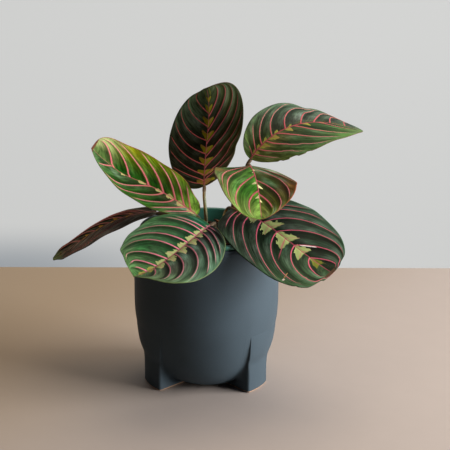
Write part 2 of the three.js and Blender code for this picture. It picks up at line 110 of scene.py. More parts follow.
LEAVES = {
    "top_leaf": {
        "node": "leaf_top",
        "base": (-3, 31, 190.5), "heading": (89.5, -5.5, -22), "pitch": (22, 60, 40.5),
        "roll": (20.5, -42), "length": 115, "half_width": 39.5, "full": (0.7, 0.5),
        "lopsided": (-0.07, -0.49), "fold": (-22.5, -22.5), "curl": (15, 14),
        "root": (-0.4, 16), "lean": (-0.02, 0.2),
        "dents": [(1, 0.5, 0.06, 0.05), (-1, 0.97, 0.05, 0.25)], "ragged": [(1, 0.02, 0.25, 0.06)],
        "quilt": (0.45, 0.45),
        "veins_left": [(0.039, 0.08, 0.16, 0.75), (0.065, 0.25, 0.01, 1), (0.144, 0.23, 0.09, 1),
                       (0.259, 0.22, 0.09, 1), (0.378, 0.18, 0.13, 1), (0.506, 0.14, 0.15, 1),
                       (0.634, 0.16, 0.1, 1), (0.751, 0.19, 0.03, 0.9)],
        "veins_right": [(0.03, 0.1, 0.1, 0.6), (0.07, 0.2, 0.2, 0.95), (0.124, 0.2, 0.4, 0.96),
                        (0.221, 0.36, 0.24, 1), (0.339, 0.43, 0.21, 0.95), (0.474, 0.5, 0.09, 0.9),
                        (0.588, 0.6, -0.1, 0.75), (0.72, 0.6, 0.1, 0.47)],
    },
    "left_leaf": {
        "node": "leaf_left",
        "base": (-9.5, 12, 165.5), "heading": (155.5, 26.5, 8), "pitch": (32, -20.5, 36.5),
        "roll": (16, 10), "length": 126, "half_width": 36, "full": (0.52, 0.46),
        "lopsided": (0.05, -0.3), "fold": (17, 16.5), "curl": (-27, -21),
        "root": (-8, 6), "lean": (-0.1, 0.1), "neck": 0.1,
        "dents": [(1, 0.12, 0.08, 0.14)], "stray": (0.7, 0.17, -0.2),
        "quilt": (0.5, 0.3),
        "veins_left": [(0.056, 0.05, 0.13, 1), (0.112, 0.08, 0.16, 1), (0.228, 0, 0.33, 1),
                       (0.327, 0.05, 0.41, 1), (0.43, 0.3, 0.13, 1), (0.79, 0.13, 0, 0.9)],
        "veins_right": [(0.064, 0.13, 0.06, 0.9), (0.126, 0.19, 0.09, 0.97), (0.213, 0.21, 0.1, 0.95),
                        (0.324, 0.25, 0.09, 0.97), (0.455, 0.24, 0.17, 0.97), (0.62, 0.13, 0.33, 0.9),
                        (0.765, 0.2, 0.1, 0.8)],
    },
    "far_left_leaf": {
        "node": "leaf_far_left",
        "base": (-50.5, 36.5, 161.5), "heading": (186, 3, 1.5), "pitch": (3.5, -74.5, 40.5),
        "roll": (2, -2), "length": 118, "half_width": 35, "full": (0.51, 0.52),
        "lopsided": (0.02, 0), "fold": (7, 9), "curl": (-10, -38),
        "root": (-14, 25), "lean": (-0.5, 0.2),
        "dents": [(1, 0.975, 0.035, 0.35), (-1, 0.975, 0.035, 0.35)],
        "quilt": (0.9, 0.9),
        "veins_left": [(0.04, 0.4, 0.45, 0.95), (0.1, 0.4, 0.45, 0.95), (0.18, 0.4, 0.4, 0.95),
                       (0.28, 0.4, 0.35, 0.95), (0.4, 0.38, 0.25, 0.9), (0.54, 0.32, 0.2, 0.85),
                       (0.7, 0.22, 0.15, 0.7)],
        "veins_right": [(0.05, 0.4, 0.45, 0.95), (0.12, 0.4, 0.45, 0.95), (0.2, 0.4, 0.4, 0.95),
                        (0.3, 0.4, 0.35, 0.95), (0.42, 0.38, 0.25, 0.9), (0.56, 0.32, 0.2, 0.85),
                        (0.72, 0.22, 0.15, 0.7)],
    },
    "lower_left_leaf": {
        "node": "leaf_lower_left",
        "base": (3.5, -33, 169.5), "heading": (244, -29.5, -1.5), "pitch": (-1, -45, 44),
        "roll": (19, -10.5), "length": 110.5, "half_width": 50, "full": (0.68, 0.56),
        "lopsided": (0.16, -0.13), "fold": (19, 23.5), "curl": (-64, -47),
        "root": (6, -9), "lean": (0.05, -0.25),
        "dents": [(-1, 0.95, 0.05, 0.25), (1, 0.94, 0.05, 0.1)],
        "quilt": (1.1, 0.4),
        "veins_left": [(0.035, 0.06, 0.1, 0.6), (0.078, 0.11, 0.18, 0.92), (0.169, 0.15, 0.14, 0.94),
                       (0.277, 0.13, 0.17, 0.97), (0.413, 0.07, 0.28, 0.96), (0.552, 0.1, 0.25, 0.9),
                       (0.676, 0.11, 0.17, 0.86), (0.795, 0.13, 0.11, 0.6)],
        "veins_right": [(0.04, 0.08, 0.02, 0.2), (0.09, 0.1, 0.05, 0.8), (0.151, 0.07, 0.08, 0.86),
                        (0.247, 0.13, 0.21, 0.93), (0.371, 0.16, 0.18, 0.92), (0.485, 0.14, 0.25, 0.9),
                        (0.639, 0.24, 0.15, 0.88), (0.762, 0.25, 0.14, 0.64), (0.864, 0.2, 0, 0.38)],
    },
    "lower_right_leaf": {
        "node": "leaf_lower_right",
        "base": (26.5, 5, 175), "heading": (-53, 8.5, 11), "pitch": (5, -56, 32.5),
        "roll": (-8, -10.5), "length": 136.5, "half_width": 48.5, "full": (0.35, 0.3),
        "lopsided": (0, -0.08), "fold": (6, 4), "curl": (-5, -15),
        "root": (13, 6), "lean": (0.15, 0.1),
        "dents": [(1, 0.985, 0.012, 0.3), (-1, 0.985, 0.012, 0.2), (1, 0.0, 0.07, 0.5)],
        "ragged": [(1, 0.9, 0.99, 0.06)],
        "quilt": (0.6, 0.7),
        "veins_left": [(0.06, 0, 0.25, 0.9), (0.12, 0.02, 0.36, 0.97), (0.2, 0.05, 0.42, 0.97),
                       (0.33, 0.12, 0.45, 0.97), (0.468, 0.24, 0.37, 0.92), (0.645, 0.33, 0.28, 0.9),
                       (0.8, 0.38, 0.1, 0.5)],
        "veins_right": [(0.067, 0.05, 0.17, 0.85), (0.116, 0.06, 0.29, 0.95), (0.197, 0.1, 0.37, 0.98),
                        (0.309, 0.2, 0.33, 0.98), (0.474, 0.14, 0.44, 0.92), (0.649, 0.15, 0.61, 0.82),
                        (0.795, 0.15, 1.8, 0.44)],
    },
    "front_leaf": {
        "node": "leaf_front",
        "base": (42, 6, 219), "heading": (-86, 3, -2), "pitch": (9, -25, -46.5),
        "roll": (0, 10.5), "length": 106, "half_width": 40.5, "full": (0.42, 0.55),
        "lopsided": (-0.02, -0.17), "fold": (-11.5, -11.5), "curl": (3, 31),
        "on_shoot": -1,
        "dents": [(-1, 0.16, 0.11, 0.19), (-1, 0.35, 0.07, -0.05)],
        "quilt": (0.6, 0.6),
        "veins_left": [(0.07, 0.05, 0.28, 0.98), (0.208, 0.15, 0.43, 0.98), (0.531, 0.2, 0.22, 1),
                       (0.743, 0.21, 0.04, 0.62)],
        "veins_right": [(0.02, 0.1, 0.75, 0.96), (0.03, 0.6, 0.33, 0.96), (0.415, 0.5, 0.08, 0.9),
                        (0.7, 0.3, 0.9, 0.52)],
    },
    "upper_right_leaf": {
        "node": "leaf_upper_right",
        "base": (43, 20, 221.5), "heading": (25, 6, -7.5), "pitch": (54, -114, 41),
        "roll": (-40, 37.5), "length": 141, "half_width": 39, "full": (0.55, 0.56),
        "lopsided": (-0.05, 0.31), "fold": (3.5, -2), "curl": (-13, -9),
        "on_shoot": 1,
        "dents": [(-1, 0.62, 0.07, 0.2), (-1, 0.3, 0.14, -0.035)], "ragged": [(1, 0.04, 0.42, 0.05)],
        "quilt": (0.85, 0.35),
        "veins_left": [(0.025, 0.08, 0, 0.6), (0.062, 0.12, 0.06, 0.85), (0.13, 0.09, 0.22, 0.94),
                       (0.225, 0.11, 0.23, 1), (0.341, 0.11, 0.33, 0.95), (0.467, 0.18, 0.14, 0.95),
                       (0.574, 0.2, 0.2, 0.95), (0.71, 0.12, 0.22, 0.9), (0.84, 0.07, 0.16, 0.75)],
        "veins_right": [(0.045, 0.03, 0.11, 0.88), (0.089, 0.06, 0.26, 0.96), (0.169, 0.09, 0.41, 1),
                        (0.266, 0.29, 0.26, 0.92), (0.406, 0.34, 0.29, 0.8), (0.6, 0.6, 0.3, 0.5)],
    },
}
SHOOT = {"root": (19, 14), "top": (32.5, 14, 190), "socket_depth": 9, "socket_offset": 2.3}
# Dry leaf sheaths round the stalks: foot, lean, height, radius, the way each faces and how much of
# the way round it reaches, in degrees.
SHEATHS = [
    ((18, 12), (0.32, -0.02), 30, 4.6, 215, 190), ((14, 6), (0.1, -0.05), 19, 3.6, 240, 170),
    ((22, 17), (0.3, 0.1), 24, 4.4, 40, 180), ((6.5, -9.5), (0.0, -0.2), 17, 3.2, 280, 200),
    ((-0.4, 15), (0.0, 0.1), 13, 3.2, 250, 190), ((-9, 6), (-0.15, 0.05), 12, 3.2, 200, 200),
    ((-14, 25), (-0.3, 0.1), 14, 3.4, 120, 190),
]
PETIOLE = {"root_radius": 2.1, "fork_radius": 1.7, "neck_radius": 1.45, "into_blade": 9}
FACE, UNDERSIDE, STALK = range(3)
# A width in metres times this is half of it in millimetres.
HALF_IN_MM = 500

# How finely the surfaces are cut

BLADE_ROWS = 200
UPPER_COLUMNS = 101
LOWER_COLUMNS = 41
MIDRIB_STEPS = 192
PETIOLE_STEPS = 70
PETIOLE_SIDES = 20
SHOOT_STEPS = 80
SHOOT_SIDES = 40
POT_SIDES = 192
SOIL_SIDES = 240

# Stage, in metres: the floor ends where the photo has its horizon, and the backdrop glows a little
# less low on the left. The camera's angles are degrees and its focal length is in the photo's pixels.

FLOOR = {"left": -6, "front": -8, "width": 12, "back": 0.34}
# The dim factors paint a shadow into the backdrop's glow, low on its left.
BACKDROP = {"left": -4, "bottom": -2, "width": 8, "height": 6, "at": 2.0, "painted_shadow": (0.5, 0.54, 0.59)}
KEY_LIGHT = {"place": (1.6, -0.34, 0.42), "target": (0, 0, 0.14), "size": 1.15}
TOP_LIGHT = {"place": (0.3, 0.4, 1.85), "target": (0, 0, 0.1), "size": 1.4, "tint": (1, 0.84, 0.66)}
WORLD_TINT = (0.9, 0.95, 1.0)
WORLD_STRENGTH = 0.015
CAMERA = {"yaw": 0.797, "pitch": 17.579, "roll": 0.424, "away": 1.3, "height": 0.5713, "focal": 1381.3}
PHOTO_WIDTH = 450
SENSOR_WIDTH = 36

# How each blade is coloured. left and right are the halves: by the midrib, at the margin, towards
# the tip and at the base; tip_from is where on s the tip's colour begins. gloss is how much the face
# mirrors. vein and vein_end are the side veins' colours at the midrib and at their ends, vein_width
# is their width against the default. vein_light and shade scale the veins and the whole face, left
# and right: shade is painted light, a half made lighter or darker for how the light falls on it,
# and vein_light is partly such painted light and partly the veins' own colour. flashes are the light
# blotches along the midrib, left and right: from where to where on s, and their half width in
# millimetres. flash and flash_tip are their colours. flash_shape is how wide they start, how they
# widen, and where they stop at the midrib and at their lobes, and teeth is how ragged they are.
# long_spur is a line across the right half: where on s it starts, its length, its rise in s for each
# millimetre, and the blade's length that its width is measured by. margin is the edge's colour, left
# and right. The hollow numbers darken the quilting's hollows with painted shade, and the sheen
# numbers lighten its crests with a painted sheen, left and right. A fleck is a spot at (s, v), with
# its slope, half height, half width and colour. A tint is a soft patch at (s, v), with its half
# height, half width and the factors on red, green and blue at its middle; the tints stand partly for
# painted light and shade and partly for the leaf's own colour. A halo is a band beside each side
# vein: its share and colour.

LOOKS = {
    "top_leaf": {
        "left": (rgb(22, 25, 17), rgb(35, 39, 27), rgb(52, 64, 42), rgb(26, 28, 9)),
        "right": (rgb(20, 17, 5), rgb(40, 41, 13), rgb(31, 40, 21), rgb(37, 31, 7)),
        "gloss": 0.04,
        "vein": rgb(136, 62, 66), "vein_end": rgb(122, 56, 56), "vein_width": 0.85,
        "flash": rgb(106, 98, 14), "flash_tip": rgb(112, 104, 22),
        "shade": (2.2, 0.95), "vein_light": (1.6, 1.2),
        "flashes": ([(0.02, 0.13, 9.5), (0.135, 0.235, 8.5), (0.25, 0.36, 7), (0.375, 0.475, 6.5),
                     (0.5, 0.605, 6.5), (0.625, 0.725, 6.5), (0.745, 0.835, 4.5), (0.85, 0.91, 3)],
                    [(0.02, 0.13, 11), (0.135, 0.235, 9.5), (0.25, 0.36, 8.5), (0.375, 0.475, 7.5),
                     (0.5, 0.605, 6.5), (0.625, 0.725, 5.5), (0.745, 0.835, 4), (0.85, 0.91, 3)]),
        "flash_shape": (0.1, 1.12, 0.66, 1.06), "teeth": 0.2,
        "margin": (rgb(44, 50, 24), rgb(72, 70, 44)), "hollow": (0.2, 0.15), "sheen": (0.04, 0.03),
        "tints_and_painted_light": [(0.85, -0.5, 0.4, 0.9, (1.9, 2.1, 2.4)), (0.95, 0.6, 0.3, 0.6, (2.2, 2.1, 2.1)),
                  (0.3, 0.8, 0.3, 0.3, (0.75, 0.6, 0.5))],
    },
    "left_leaf": {
        "left": (rgb(30, 52, 20), rgb(50, 98, 31), rgb(60, 87, 51), rgb(77, 99, 68)),
        "right": (rgb(22, 62, 9), rgb(80, 100, 4), rgb(134, 142, 92), rgb(98, 142, 50)),
        "gloss": 0.02,
        "vein": rgb(208, 108, 118), "vein_end": rgb(216, 138, 142), "vein_width": 1.25,
        "tip_from": 0.68,
        "flash": rgb(176, 176, 112), "flash_tip": rgb(190, 180, 124),
        "flashes": ([(0.02, 0.1, 6), (0.11, 0.2, 6.5), (0.22, 0.3, 5), (0.33, 0.4, 4.5),
                     (0.48, 0.55, 4.5), (0.66, 0.7, 4)],
                    [(0.02, 0.1, 3), (0.12, 0.2, 3), (0.22, 0.3, 2.5), (0.34, 0.39, 1.5),
                     (0.48, 0.56, 1.5)]),
        "flash_shape": (0.45, 0.8, 1.0, 0.8), "teeth": 0.5,
        "margin": (rgb(96, 116, 52), rgb(146, 78, 56)), "hollow": (0.7, 0.45), "sheen": (0.06, 0.03),
        "flecks": [(0.995, 0, 0, 0.014, 1.2, rgb(96, 58, 44))],
        "tints_and_painted_light": [(0.7, -0.2, 0.14, 0.3, (3.2, 2.4, 4.0)), (0.3, -0.2, 0.2, 0.2, (1.5, 0.9, 1.1)),
                  (0.08, 0.3, 0.14, 0.6, (1.7, 1.5, 1.6)), (0.3, 0.45, 0.2, 0.3, (0.6, 0.6, 0.4)),
                  (0.9, 0.2, 0.14, 0.25, (0.5, 0.7, 0.5)), (0.1, -0.2, 0.12, 0.25, (1.9, 1.8, 2.6)),
                  (0.7, 0.85, 0.14, 0.35, (1.8, 1.3, 1.4)), (0.7, 0.12, 0.12, 0.2, (0.45, 1.05, 0.6)),
                  (0.1, -0.8, 0.12, 0.35, (0.55, 0.5, 0.55)), (0.3, -0.5, 0.14, 0.22, (0.5, 0.62, 0.5))],
        "halo": (0.45, rgb(150, 92, 60)),
    },
    "far_left_leaf": {
        "left": (rgb(86, 81, 69), rgb(104, 92, 83), rgb(75, 65, 57), rgb(94, 91, 76)),
        "right": (rgb(86, 79, 66), rgb(100, 85, 76), rgb(74, 63, 56), rgb(92, 86, 73)),
        "vein": rgb(176, 106, 98), "vein_end": rgb(158, 98, 90), "vein_width": 1.1,
        "flash": rgb(196, 150, 56), "flash_tip": rgb(196, 160, 70), "gloss": 0.0,
        "flashes": ([(0.23, 0.27, 4.5), (0.37, 0.41, 4.5), (0.51, 0.55, 4.5), (0.65, 0.69, 4)],
                    [(0.2, 0.24, 5), (0.34, 0.38, 5), (0.48, 0.52, 5), (0.62, 0.66, 4)]),
        "flash_shape": (0.2, 1.0, 0.8, 1.0), "teeth": 0.3,
        "margin": (rgb(58, 32, 32), rgb(58, 32, 32)), "hollow": (0.9, 0.9), "sheen": (0.1, 0.1),
        "tints_and_painted_light": [(1.0, 0.0, 0.12, 2.0, (1.1, 1.9, 1.1)), (0.45, 0.15, 0.4, 0.3, (0.5, 0.6, 0.5))],
        "vein_light": (1.1, 1.25),
    },
    "lower_left_leaf": {
        "left": (rgb(27, 35, 30), rgb(57, 82, 61), rgb(72, 93, 56), rgb(3, 5, 2)),
        "right": (rgb(12, 62, 28), rgb(76, 132, 82), rgb(78, 120, 64), rgb(26, 74, 46)),
        "gloss": 0.08,
        "vein": rgb(182, 102, 119), "vein_end": rgb(184, 130, 134), "vein_width": 1.1,
        "flash": rgb(168, 178, 116), "flash_tip": rgb(150, 150, 66),
        "flashes": ([(0.11, 0.16, 4), (0.19, 0.265, 6.5), (0.295, 0.385, 9), (0.43, 0.525, 9.5),
                     (0.57, 0.655, 9.5), (0.695, 0.785, 8), (0.81, 0.87, 5), (0.88, 0.95, 2.5)],
                    [(0.1, 0.15, 2.5), (0.17, 0.245, 5), (0.26, 0.365, 5.5), (0.385, 0.48, 5.5),
                     (0.5, 0.63, 5.5), (0.66, 0.755, 4.5), (0.78, 0.86, 3.5), (0.88, 0.95, 2.5)]),
        "flash_shape": (0.4, 0.85, 1.0, 0.85), "teeth": 0.5,
        "margin": (rgb(86, 100, 60), rgb(96, 104, 52)), "hollow": (0.95, 0.75), "sheen": (0.08, 0.05),
        "tints_and_painted_light": [(0.6, 0.8, 0.35, 0.45, (1.6, 1.35, 1.6)), (0.08, -0.75, 0.14, 0.5, (0.3, 0.25, 0.2)),
                  (0.7, -0.48, 0.14, 0.3, (0.5, 0.42, 0.45)), (0.5, -0.2, 0.3, 0.22, (1.6, 2.0, 1.9)),
                  (0.1, 0.5, 0.1, 0.4, (1.1, 1.3, 1.6)), (0.88, -0.2, 0.14, 0.3, (1.6, 2.0, 2.0)),
                  (0.3, 0.5, 0.16, 0.24, (0.42, 0.75, 0.5)), (0.7, 0.5, 0.14, 0.22, (0.55, 1.0, 0.75))],
        "vein_light": (0.95, 1.6),
    },
    "lower_right_leaf": {
        "left": (rgb(10, 29, 16), rgb(46, 71, 53), rgb(22, 44, 24), rgb(18, 23, 19)),
        "right": (rgb(16, 31, 16), rgb(58, 80, 57), rgb(50, 78, 45), rgb(24, 32, 15)),
        "gloss": 0.08,
        "vein": rgb(186, 80, 102), "vein_end": rgb(184, 98, 108), "vein_width": 0.95,
        "flash": rgb(158, 172, 106), "flash_tip": rgb(110, 112, 34),
        "flashes": ([(0.17, 0.3, 4), (0.325, 0.45, 12.5), (0.478, 0.625, 9.5), (0.655, 0.76, 7.5),
                     (0.8, 0.9, 4.5)],
                    [(0.17, 0.3, 9), (0.325, 0.45, 12.5), (0.478, 0.63, 14), (0.655, 0.765, 11),
                     (0.8, 0.9, 6.5)]),
        "flash_shape": (0.2, 1.05, 0.85, 0.98), "teeth": 0.5,
        "long_spur": (0.56, 27, 0.0045, 136),
        "margin": (rgb(58, 88, 64), rgb(54, 86, 60)), "hollow": (0.65, 0.8), "sheen": (0.11, 0.09),
        "flecks": [
            (0.72, -0.2, -0.37, 0.006, 0.12, rgb(236, 222, 218)),
            (0.8, 0.8, 0.07, 0.0025, 0.11, rgb(176, 128, 84)),
            (0.81, 0.9, 0, 0.006, 0.03, rgb(220, 204, 188)),
            (0.99, 0.1, 0, 0.012, 0.5, rgb(74, 52, 34)),
            (0.05, 0.03, 0, 0.075, 0.11, rgb(104, 74, 38)),
        ],
        "tints_and_painted_light": [(0.74, -0.35, 0.16, 0.5, (0.35, 0.5, 0.4)), (0.97, -0.25, 0.1, 0.4, (0.5, 0.5, 0.35)),
                  (0.55, 0.22, 0.25, 0.25, (0.6, 0.8, 0.7)), (0.1, 0.2, 0.14, 0.3, (1.9, 1.7, 1.0)),
                  (0.45, 0.8, 0.25, 0.4, (1.7, 1.4, 1.6)), (0.3, -0.2, 0.12, 0.25, (1.6, 1.6, 1.7))],
        "vein_light": (1.0, 1.15),
    },
    "front_leaf": {
        "left": (rgb(35, 46, 13), rgb(52, 38, 4), rgb(62, 76, 24), rgb(71, 98, 61)),
        "right": (rgb(54, 114, 31), rgb(68, 80, 38), rgb(104, 132, 59), rgb(60, 88, 43)),
        "gloss": 0.03,
        "vein": rgb(202, 94, 112), "vein_end": rgb(202, 118, 122), "vein_width": 1.15,
        "flash": rgb(206, 206, 150), "flash_tip": rgb(196, 190, 130),
        "flashes": ([(0.2, 0.28, 2), (0.61, 0.665, 5), (0.8, 0.84, 2)],
                    [(0.3, 0.36, 2), (0.555, 0.605, 5), (0.75, 0.8, 3.5)]),
        "flash_shape": (0.15, 1.1, 0.85, 0.95), "teeth": 0.4,
        "margin": (rgb(120, 62, 40), rgb(112, 84, 60)), "hollow": (0.7, 0.8), "sheen": (0.1, 0.06),
        "tints_and_painted_light": [(0.72, -0.55, 0.22, 0.65, (0.45, 0.36, 0.15)), (0.5, -0.85, 0.14, 0.3, (1.1, 0.7, 0.3)),
                  (0.28, -0.22, 0.14, 0.3, (3.3, 2.6, 4.4)), (0.12, 0.5, 0.1, 0.3, (0.4, 0.55, 0.35)),
                  (0.4, 0.2, 0.24, 0.3, (1.7, 1.15, 1.7)), (0.12, -0.8, 0.1, 0.3, (2.4, 1.8, 2.6)),
                  (0.3, 0.85, 0.12, 0.25, (1.2, 0.6, 0.6)), (0.92, 0, 0.1, 0.8, (1.5, 1.2, 1.5)),
                  (0.5, -0.4, 0.12, 0.3, (0.95, 1.45, 1.15)), (0.7, 0.2, 0.14, 0.3, (0.5, 0.72, 0.45)),
                  (0.7, 0.5, 0.14, 0.25, (0.75, 1.1, 0.75))],
        "halo": (0.5, rgb(112, 62, 30)), "vein_light": (0.52, 0.8),
    },
    "upper_right_leaf": {
        "left": (rgb(36, 43, 31), rgb(71, 96, 72), rgb(49, 76, 42), rgb(66, 84, 42)),
        "right": (rgb(36, 57, 29), rgb(54, 81, 38), rgb(61, 94, 35), rgb(91, 98, 49)),
        "gloss": 0.08,
        "vein": rgb(180, 80, 88), "vein_end": rgb(166, 114, 108), "vein_width": 1.0,
        "flash": rgb(150, 146, 62), "flash_tip": rgb(184, 150, 116),
        "flashes": ([(0.04, 0.07, 2.5), (0.08, 0.12, 3), (0.145, 0.19, 3.5), (0.25, 0.29, 3.5),
                     (0.36, 0.4, 2.5)],
                    [(0.03, 0.08, 4), (0.1, 0.165, 7), (0.19, 0.265, 7), (0.335, 0.385, 6.5),
                     (0.48, 0.53, 5), (0.62, 0.66, 2)]),
        "flash_shape": (0.2, 1.1, 0.85, 0.98), "teeth": 0.4,
        "margin": (rgb(70, 84, 48), rgb(84, 88, 42)), "hollow": (1.0, 0.7), "sheen": (0.1, 0.05),
        "tints_and_painted_light": [(0.5, -0.25, 0.16, 0.3, (2.2, 2.1, 2.4)), (0.3, 0.2, 0.22, 0.25, (1.9, 1.35, 1.4)),
                  (0.95, -0.85, 0.25, 0.5, (0.55, 0.65, 0.5)), (0.08, -0.7, 0.12, 0.5, (2.0, 2.0, 2.0)),
                  (0.9, 0.7, 0.16, 0.5, (1.5, 1.15, 1.5)), (0.1, -0.2, 0.12, 0.25, (0.5, 0.5, 0.45))],
        "vein_light": (1.0, 1.2),
    },
}


# Meshes


def to_frame(points):
    """Millimetres from the pot's axis as metres in the frame: add the axis, divide by 1000."""
    metres = np.asarray(points, float).reshape(-1, 3) / 1000
    return metres + np.array([POT_AXIS.x, POT_AXIS.y, 0])


def skin(points, material=None, attributes=None):
    """Quads over a grid of rings, each ring a closed loop, with a pole closing each end.

    points is rings x sides x 3. A ring runs right-handed about the way the rings advance, so the
    faces look outwards. Each pole is the middle of its end ring. material gives one number for
    each side of a ring, and attributes three numbers for each point.
    """
    rings, sides = points.shape[:2]
    row, column = np.meshgrid(np.arange(rings - 1), np.arange(sides), indexing="ij")
    first = (row * sides + column).ravel()
    second = (row * sides + (column + 1) % sides).ravel()
    quads = np.stack([first, second, second + sides, first + sides], 1)
    around = np.arange(sides)
    onward = (around + 1) % sides
    last = (rings - 1) * sides
    start = rings * sides
    end = start + 1
    triangles = np.concatenate([
        np.stack([np.full(sides, start), onward, around], 1),
        np.stack([np.full(sides, end), last + around, last + onward], 1),
    ])

    def with_poles(values):
        """Three numbers for each point of the grid, then the means of the two end rings."""
        return np.concatenate([values.reshape(-1, 3), values[[0, -1]].mean(1)])

    marks = np.zeros(sides, int) if material is None else material
    return {
        "points": with_poles(points), "quads": quads, "triangles": triangles,
        "material": np.tile(marks, rings + 1),
        "attributes": {name: with_poles(values) for name, values in (attributes or {}).items()},
    }


def joined(skins):
    """Several skins as one, their vertex numbers shifted past those before them."""
    whole = {"points": [], "quads": [], "triangles": [], "quad_marks": [], "triangle_marks": []}
    names = sorted({name for part in skins for name in part["attributes"]})
    attributes = {name: [] for name in names}
    shift = 0
    for part in skins:
        count = len(part["points"])
        quads = len(part["quads"])
        whole["points"].append(part["points"])
        whole["quads"].append(part["quads"] + shift)
        whole["triangles"].append(part["triangles"] + shift)
        whole["quad_marks"].append(part["material"][:quads])
        whole["triangle_marks"].append(part["material"][quads:])
        for name in names:
            attributes[name].append(part["attributes"].get(name, np.zeros((count, 3))))
        shift += count
    whole = {name: np.concatenate(values) for name, values in whole.items()}
    whole["material"] = np.concatenate([whole.pop("quad_marks"), whole.pop("triangle_marks")])
    whole["attributes"] = {name: np.concatenate(values) for name, values in attributes.items()}
    return whole


def make_piece(name, surface, materials, nodes=()):
    """Puts a skin into a mesh object that rides on the frame's one body in place of some nodes."""
    mesh = bpy.data.meshes.new(name)
    faces = surface["quads"].tolist() + surface["triangles"].tolist()
    mesh.from_pydata(to_frame(surface["points"]), [], faces)
    mesh.polygons.foreach_set("material_index", surface["material"].astype(np.int32))
    for label, values in surface["attributes"].items():
        attribute = mesh.attributes.new(name=label, type="FLOAT_VECTOR", domain="POINT")
        attribute.data.foreach_set("vector", values.astype(np.float32).ravel())
    mesh.shade_smooth()
    mesh.update()
    for material in materials:
        mesh.materials.append(material)
    piece = bpy.data.objects.new(name, mesh)
    bpy.context.scene.collection.objects.link(piece)
    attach(piece, "root")
    if nodes:
        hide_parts(*nodes)


def unit(vectors):
    """Vectors divided by their own lengths."""
    return vectors / np.maximum(np.linalg.norm(vectors, axis=-1, keepdims=True), 1e-12)


def smooth(low, high, value):
    """0 below low, 1 above high, and 3t^2 - 2t^3 between; it falls where high is the lower one."""
    t = np.clip((value - low) / (high - low), 0, 1)
    return t * t * (3 - 2 * t)


def turned_profile(profile, sides):
    """Rings of a surface of revolution: radius times (cos, sin) of the angle, at each height."""
    profile = np.asarray(profile, float)
    angle = np.arange(sides) * 2 * math.pi / sides
    radius, height = profile[:, :1], profile[:, 1:]
    return np.stack([radius * np.cos(angle), radius * np.sin(angle), height + 0 * angle], -1)


def rounded_profile(corners, radii, steps=7):
    """A profile whose inner corners are replaced by quadratic curves.

    Each corner c between neighbours a and b becomes (1-t)^2 p + 2t(1-t) c + t^2 q, where p and q
    lie on the two edges, c's radius away from it or halfway along a shorter edge.
    """
    corners = np.asarray(corners, float)
    pieces = [corners[:1]]
    t = np.linspace(0, 1, steps)[:, None]
    for before, corner, after, reach in zip(corners[:-2], corners[1:-1], corners[2:], radii[1:-1]):
        back, ahead = before - corner, after - corner
        back_length, ahead_length = np.linalg.norm(back), np.linalg.norm(ahead)
        p = corner + back * min(reach / back_length, 0.5)
        q = corner + ahead * min(reach / ahead_length, 0.5)
        pieces.append((1 - t) ** 2 * p + 2 * t * (1 - t) * corner + t ** 2 * q)
    pieces.append(corners[-1:])
    return np.concatenate(pieces)


def curve_through(points, count):
    """Centripetal Catmull-Rom curve through the points, read at count equal steps of its length.

    Between neighbours it is the cubic whose end slopes come from the square roots of the gaps, and
    beyond each end the curve takes a mirrored point.
    """
    points = np.asarray(points, float)
    padded = np.concatenate([2 * points[:1] - points[1:2], points, 2 * points[-1:] - points[-2:-1]])
    gaps = np.linalg.norm(np.diff(padded, axis=0), axis=1) ** 0.5
    p0, p1, p2, p3 = (padded[i:len(padded) - 3 + i] for i in range(4))
    d0, d1, d2 = (gaps[i:len(gaps) - 2 + i, None] for i in range(3))
    leave = ((p1 - p0) / d0 - (p2 - p0) / (d0 + d1) + (p2 - p1) / d1) * d1
    reach = ((p2 - p1) / d1 - (p3 - p1) / (d1 + d2) + (p3 - p2) / d2) * d1
    t = np.linspace(0, 1, 80, endpoint=False)[None, :, None]
    fine = (
        p1[:, None] + leave[:, None] * t
        + (3 * (p2 - p1) - 2 * leave - reach)[:, None] * t ** 2
        + (2 * (p1 - p2) + leave + reach)[:, None] * t ** 3
    ).reshape(-1, 3)
    fine = np.concatenate([fine, points[-1:]])
    along = np.concatenate([[0], np.cumsum(np.linalg.norm(np.diff(fine, axis=0), axis=1))])
    steps = np.linspace(0, along[-1], count)
    return np.stack([np.interp(steps, along, fine[:, axis]) for axis in range(3)], 1)


def tube_rings(path, radius, sides):
    """Rings round a path: path + radius (cos a normal + sin a binormal).

    The normal is the tangent crossed with a level direction square to the path's own run, which
    never lies along it. radius is one number per point of the path.
    """
    tangent = unit(np.gradient(path, axis=0))
    run = path[-1] - path[0]
    level = np.array([-run[1], run[0], 0.0])
    if np.linalg.norm(level) < 1:
        level = np.array([0.0, 1.0, 0.0])
    normal = unit(np.cross(tangent, level))
    binormal = np.cross(tangent, normal)
    angle = (np.arange(sides) * 2 * math.pi / sides)[None, :, None]
    return path[:, None] + radius[:, None, None] * (
        np.cos(angle) * normal[:, None] + np.sin(angle) * binormal[:, None]
    )


def value_noise(points, seed):
    """Smooth noise from -1 to 1: hashed values at whole-number corners, blended by 3t^2 - 2t^3.

    A corner's value is a hash of its three whole numbers and the seed: each times a large number,
    their bits compared, then shifted, multiplied and cut to sixteen bits.
    """
    points = np.asarray(points, float)
    corner = np.floor(points).astype(np.int64)
    t = points - corner
    t = t * t * (3 - 2 * t)
    total = 0
    for bits in range(8):
        step = np.array([bits & 1, bits >> 1 & 1, bits >> 2 & 1])
        at = corner + step
        mixed = at[..., 0] * 73856093 ^ at[..., 1] * 19349663 ^ at[..., 2] * 83492791 ^ seed * 2654435
        mixed = (mixed ^ mixed >> 13) * 1274126177 & 0xFFFFFFFF
        value = (mixed ^ mixed >> 16) % 65536 / 32767.5 - 1
        total = total + value * np.prod(np.where(step, t, 1 - t), axis=-1)
    return total


# Leaf shape


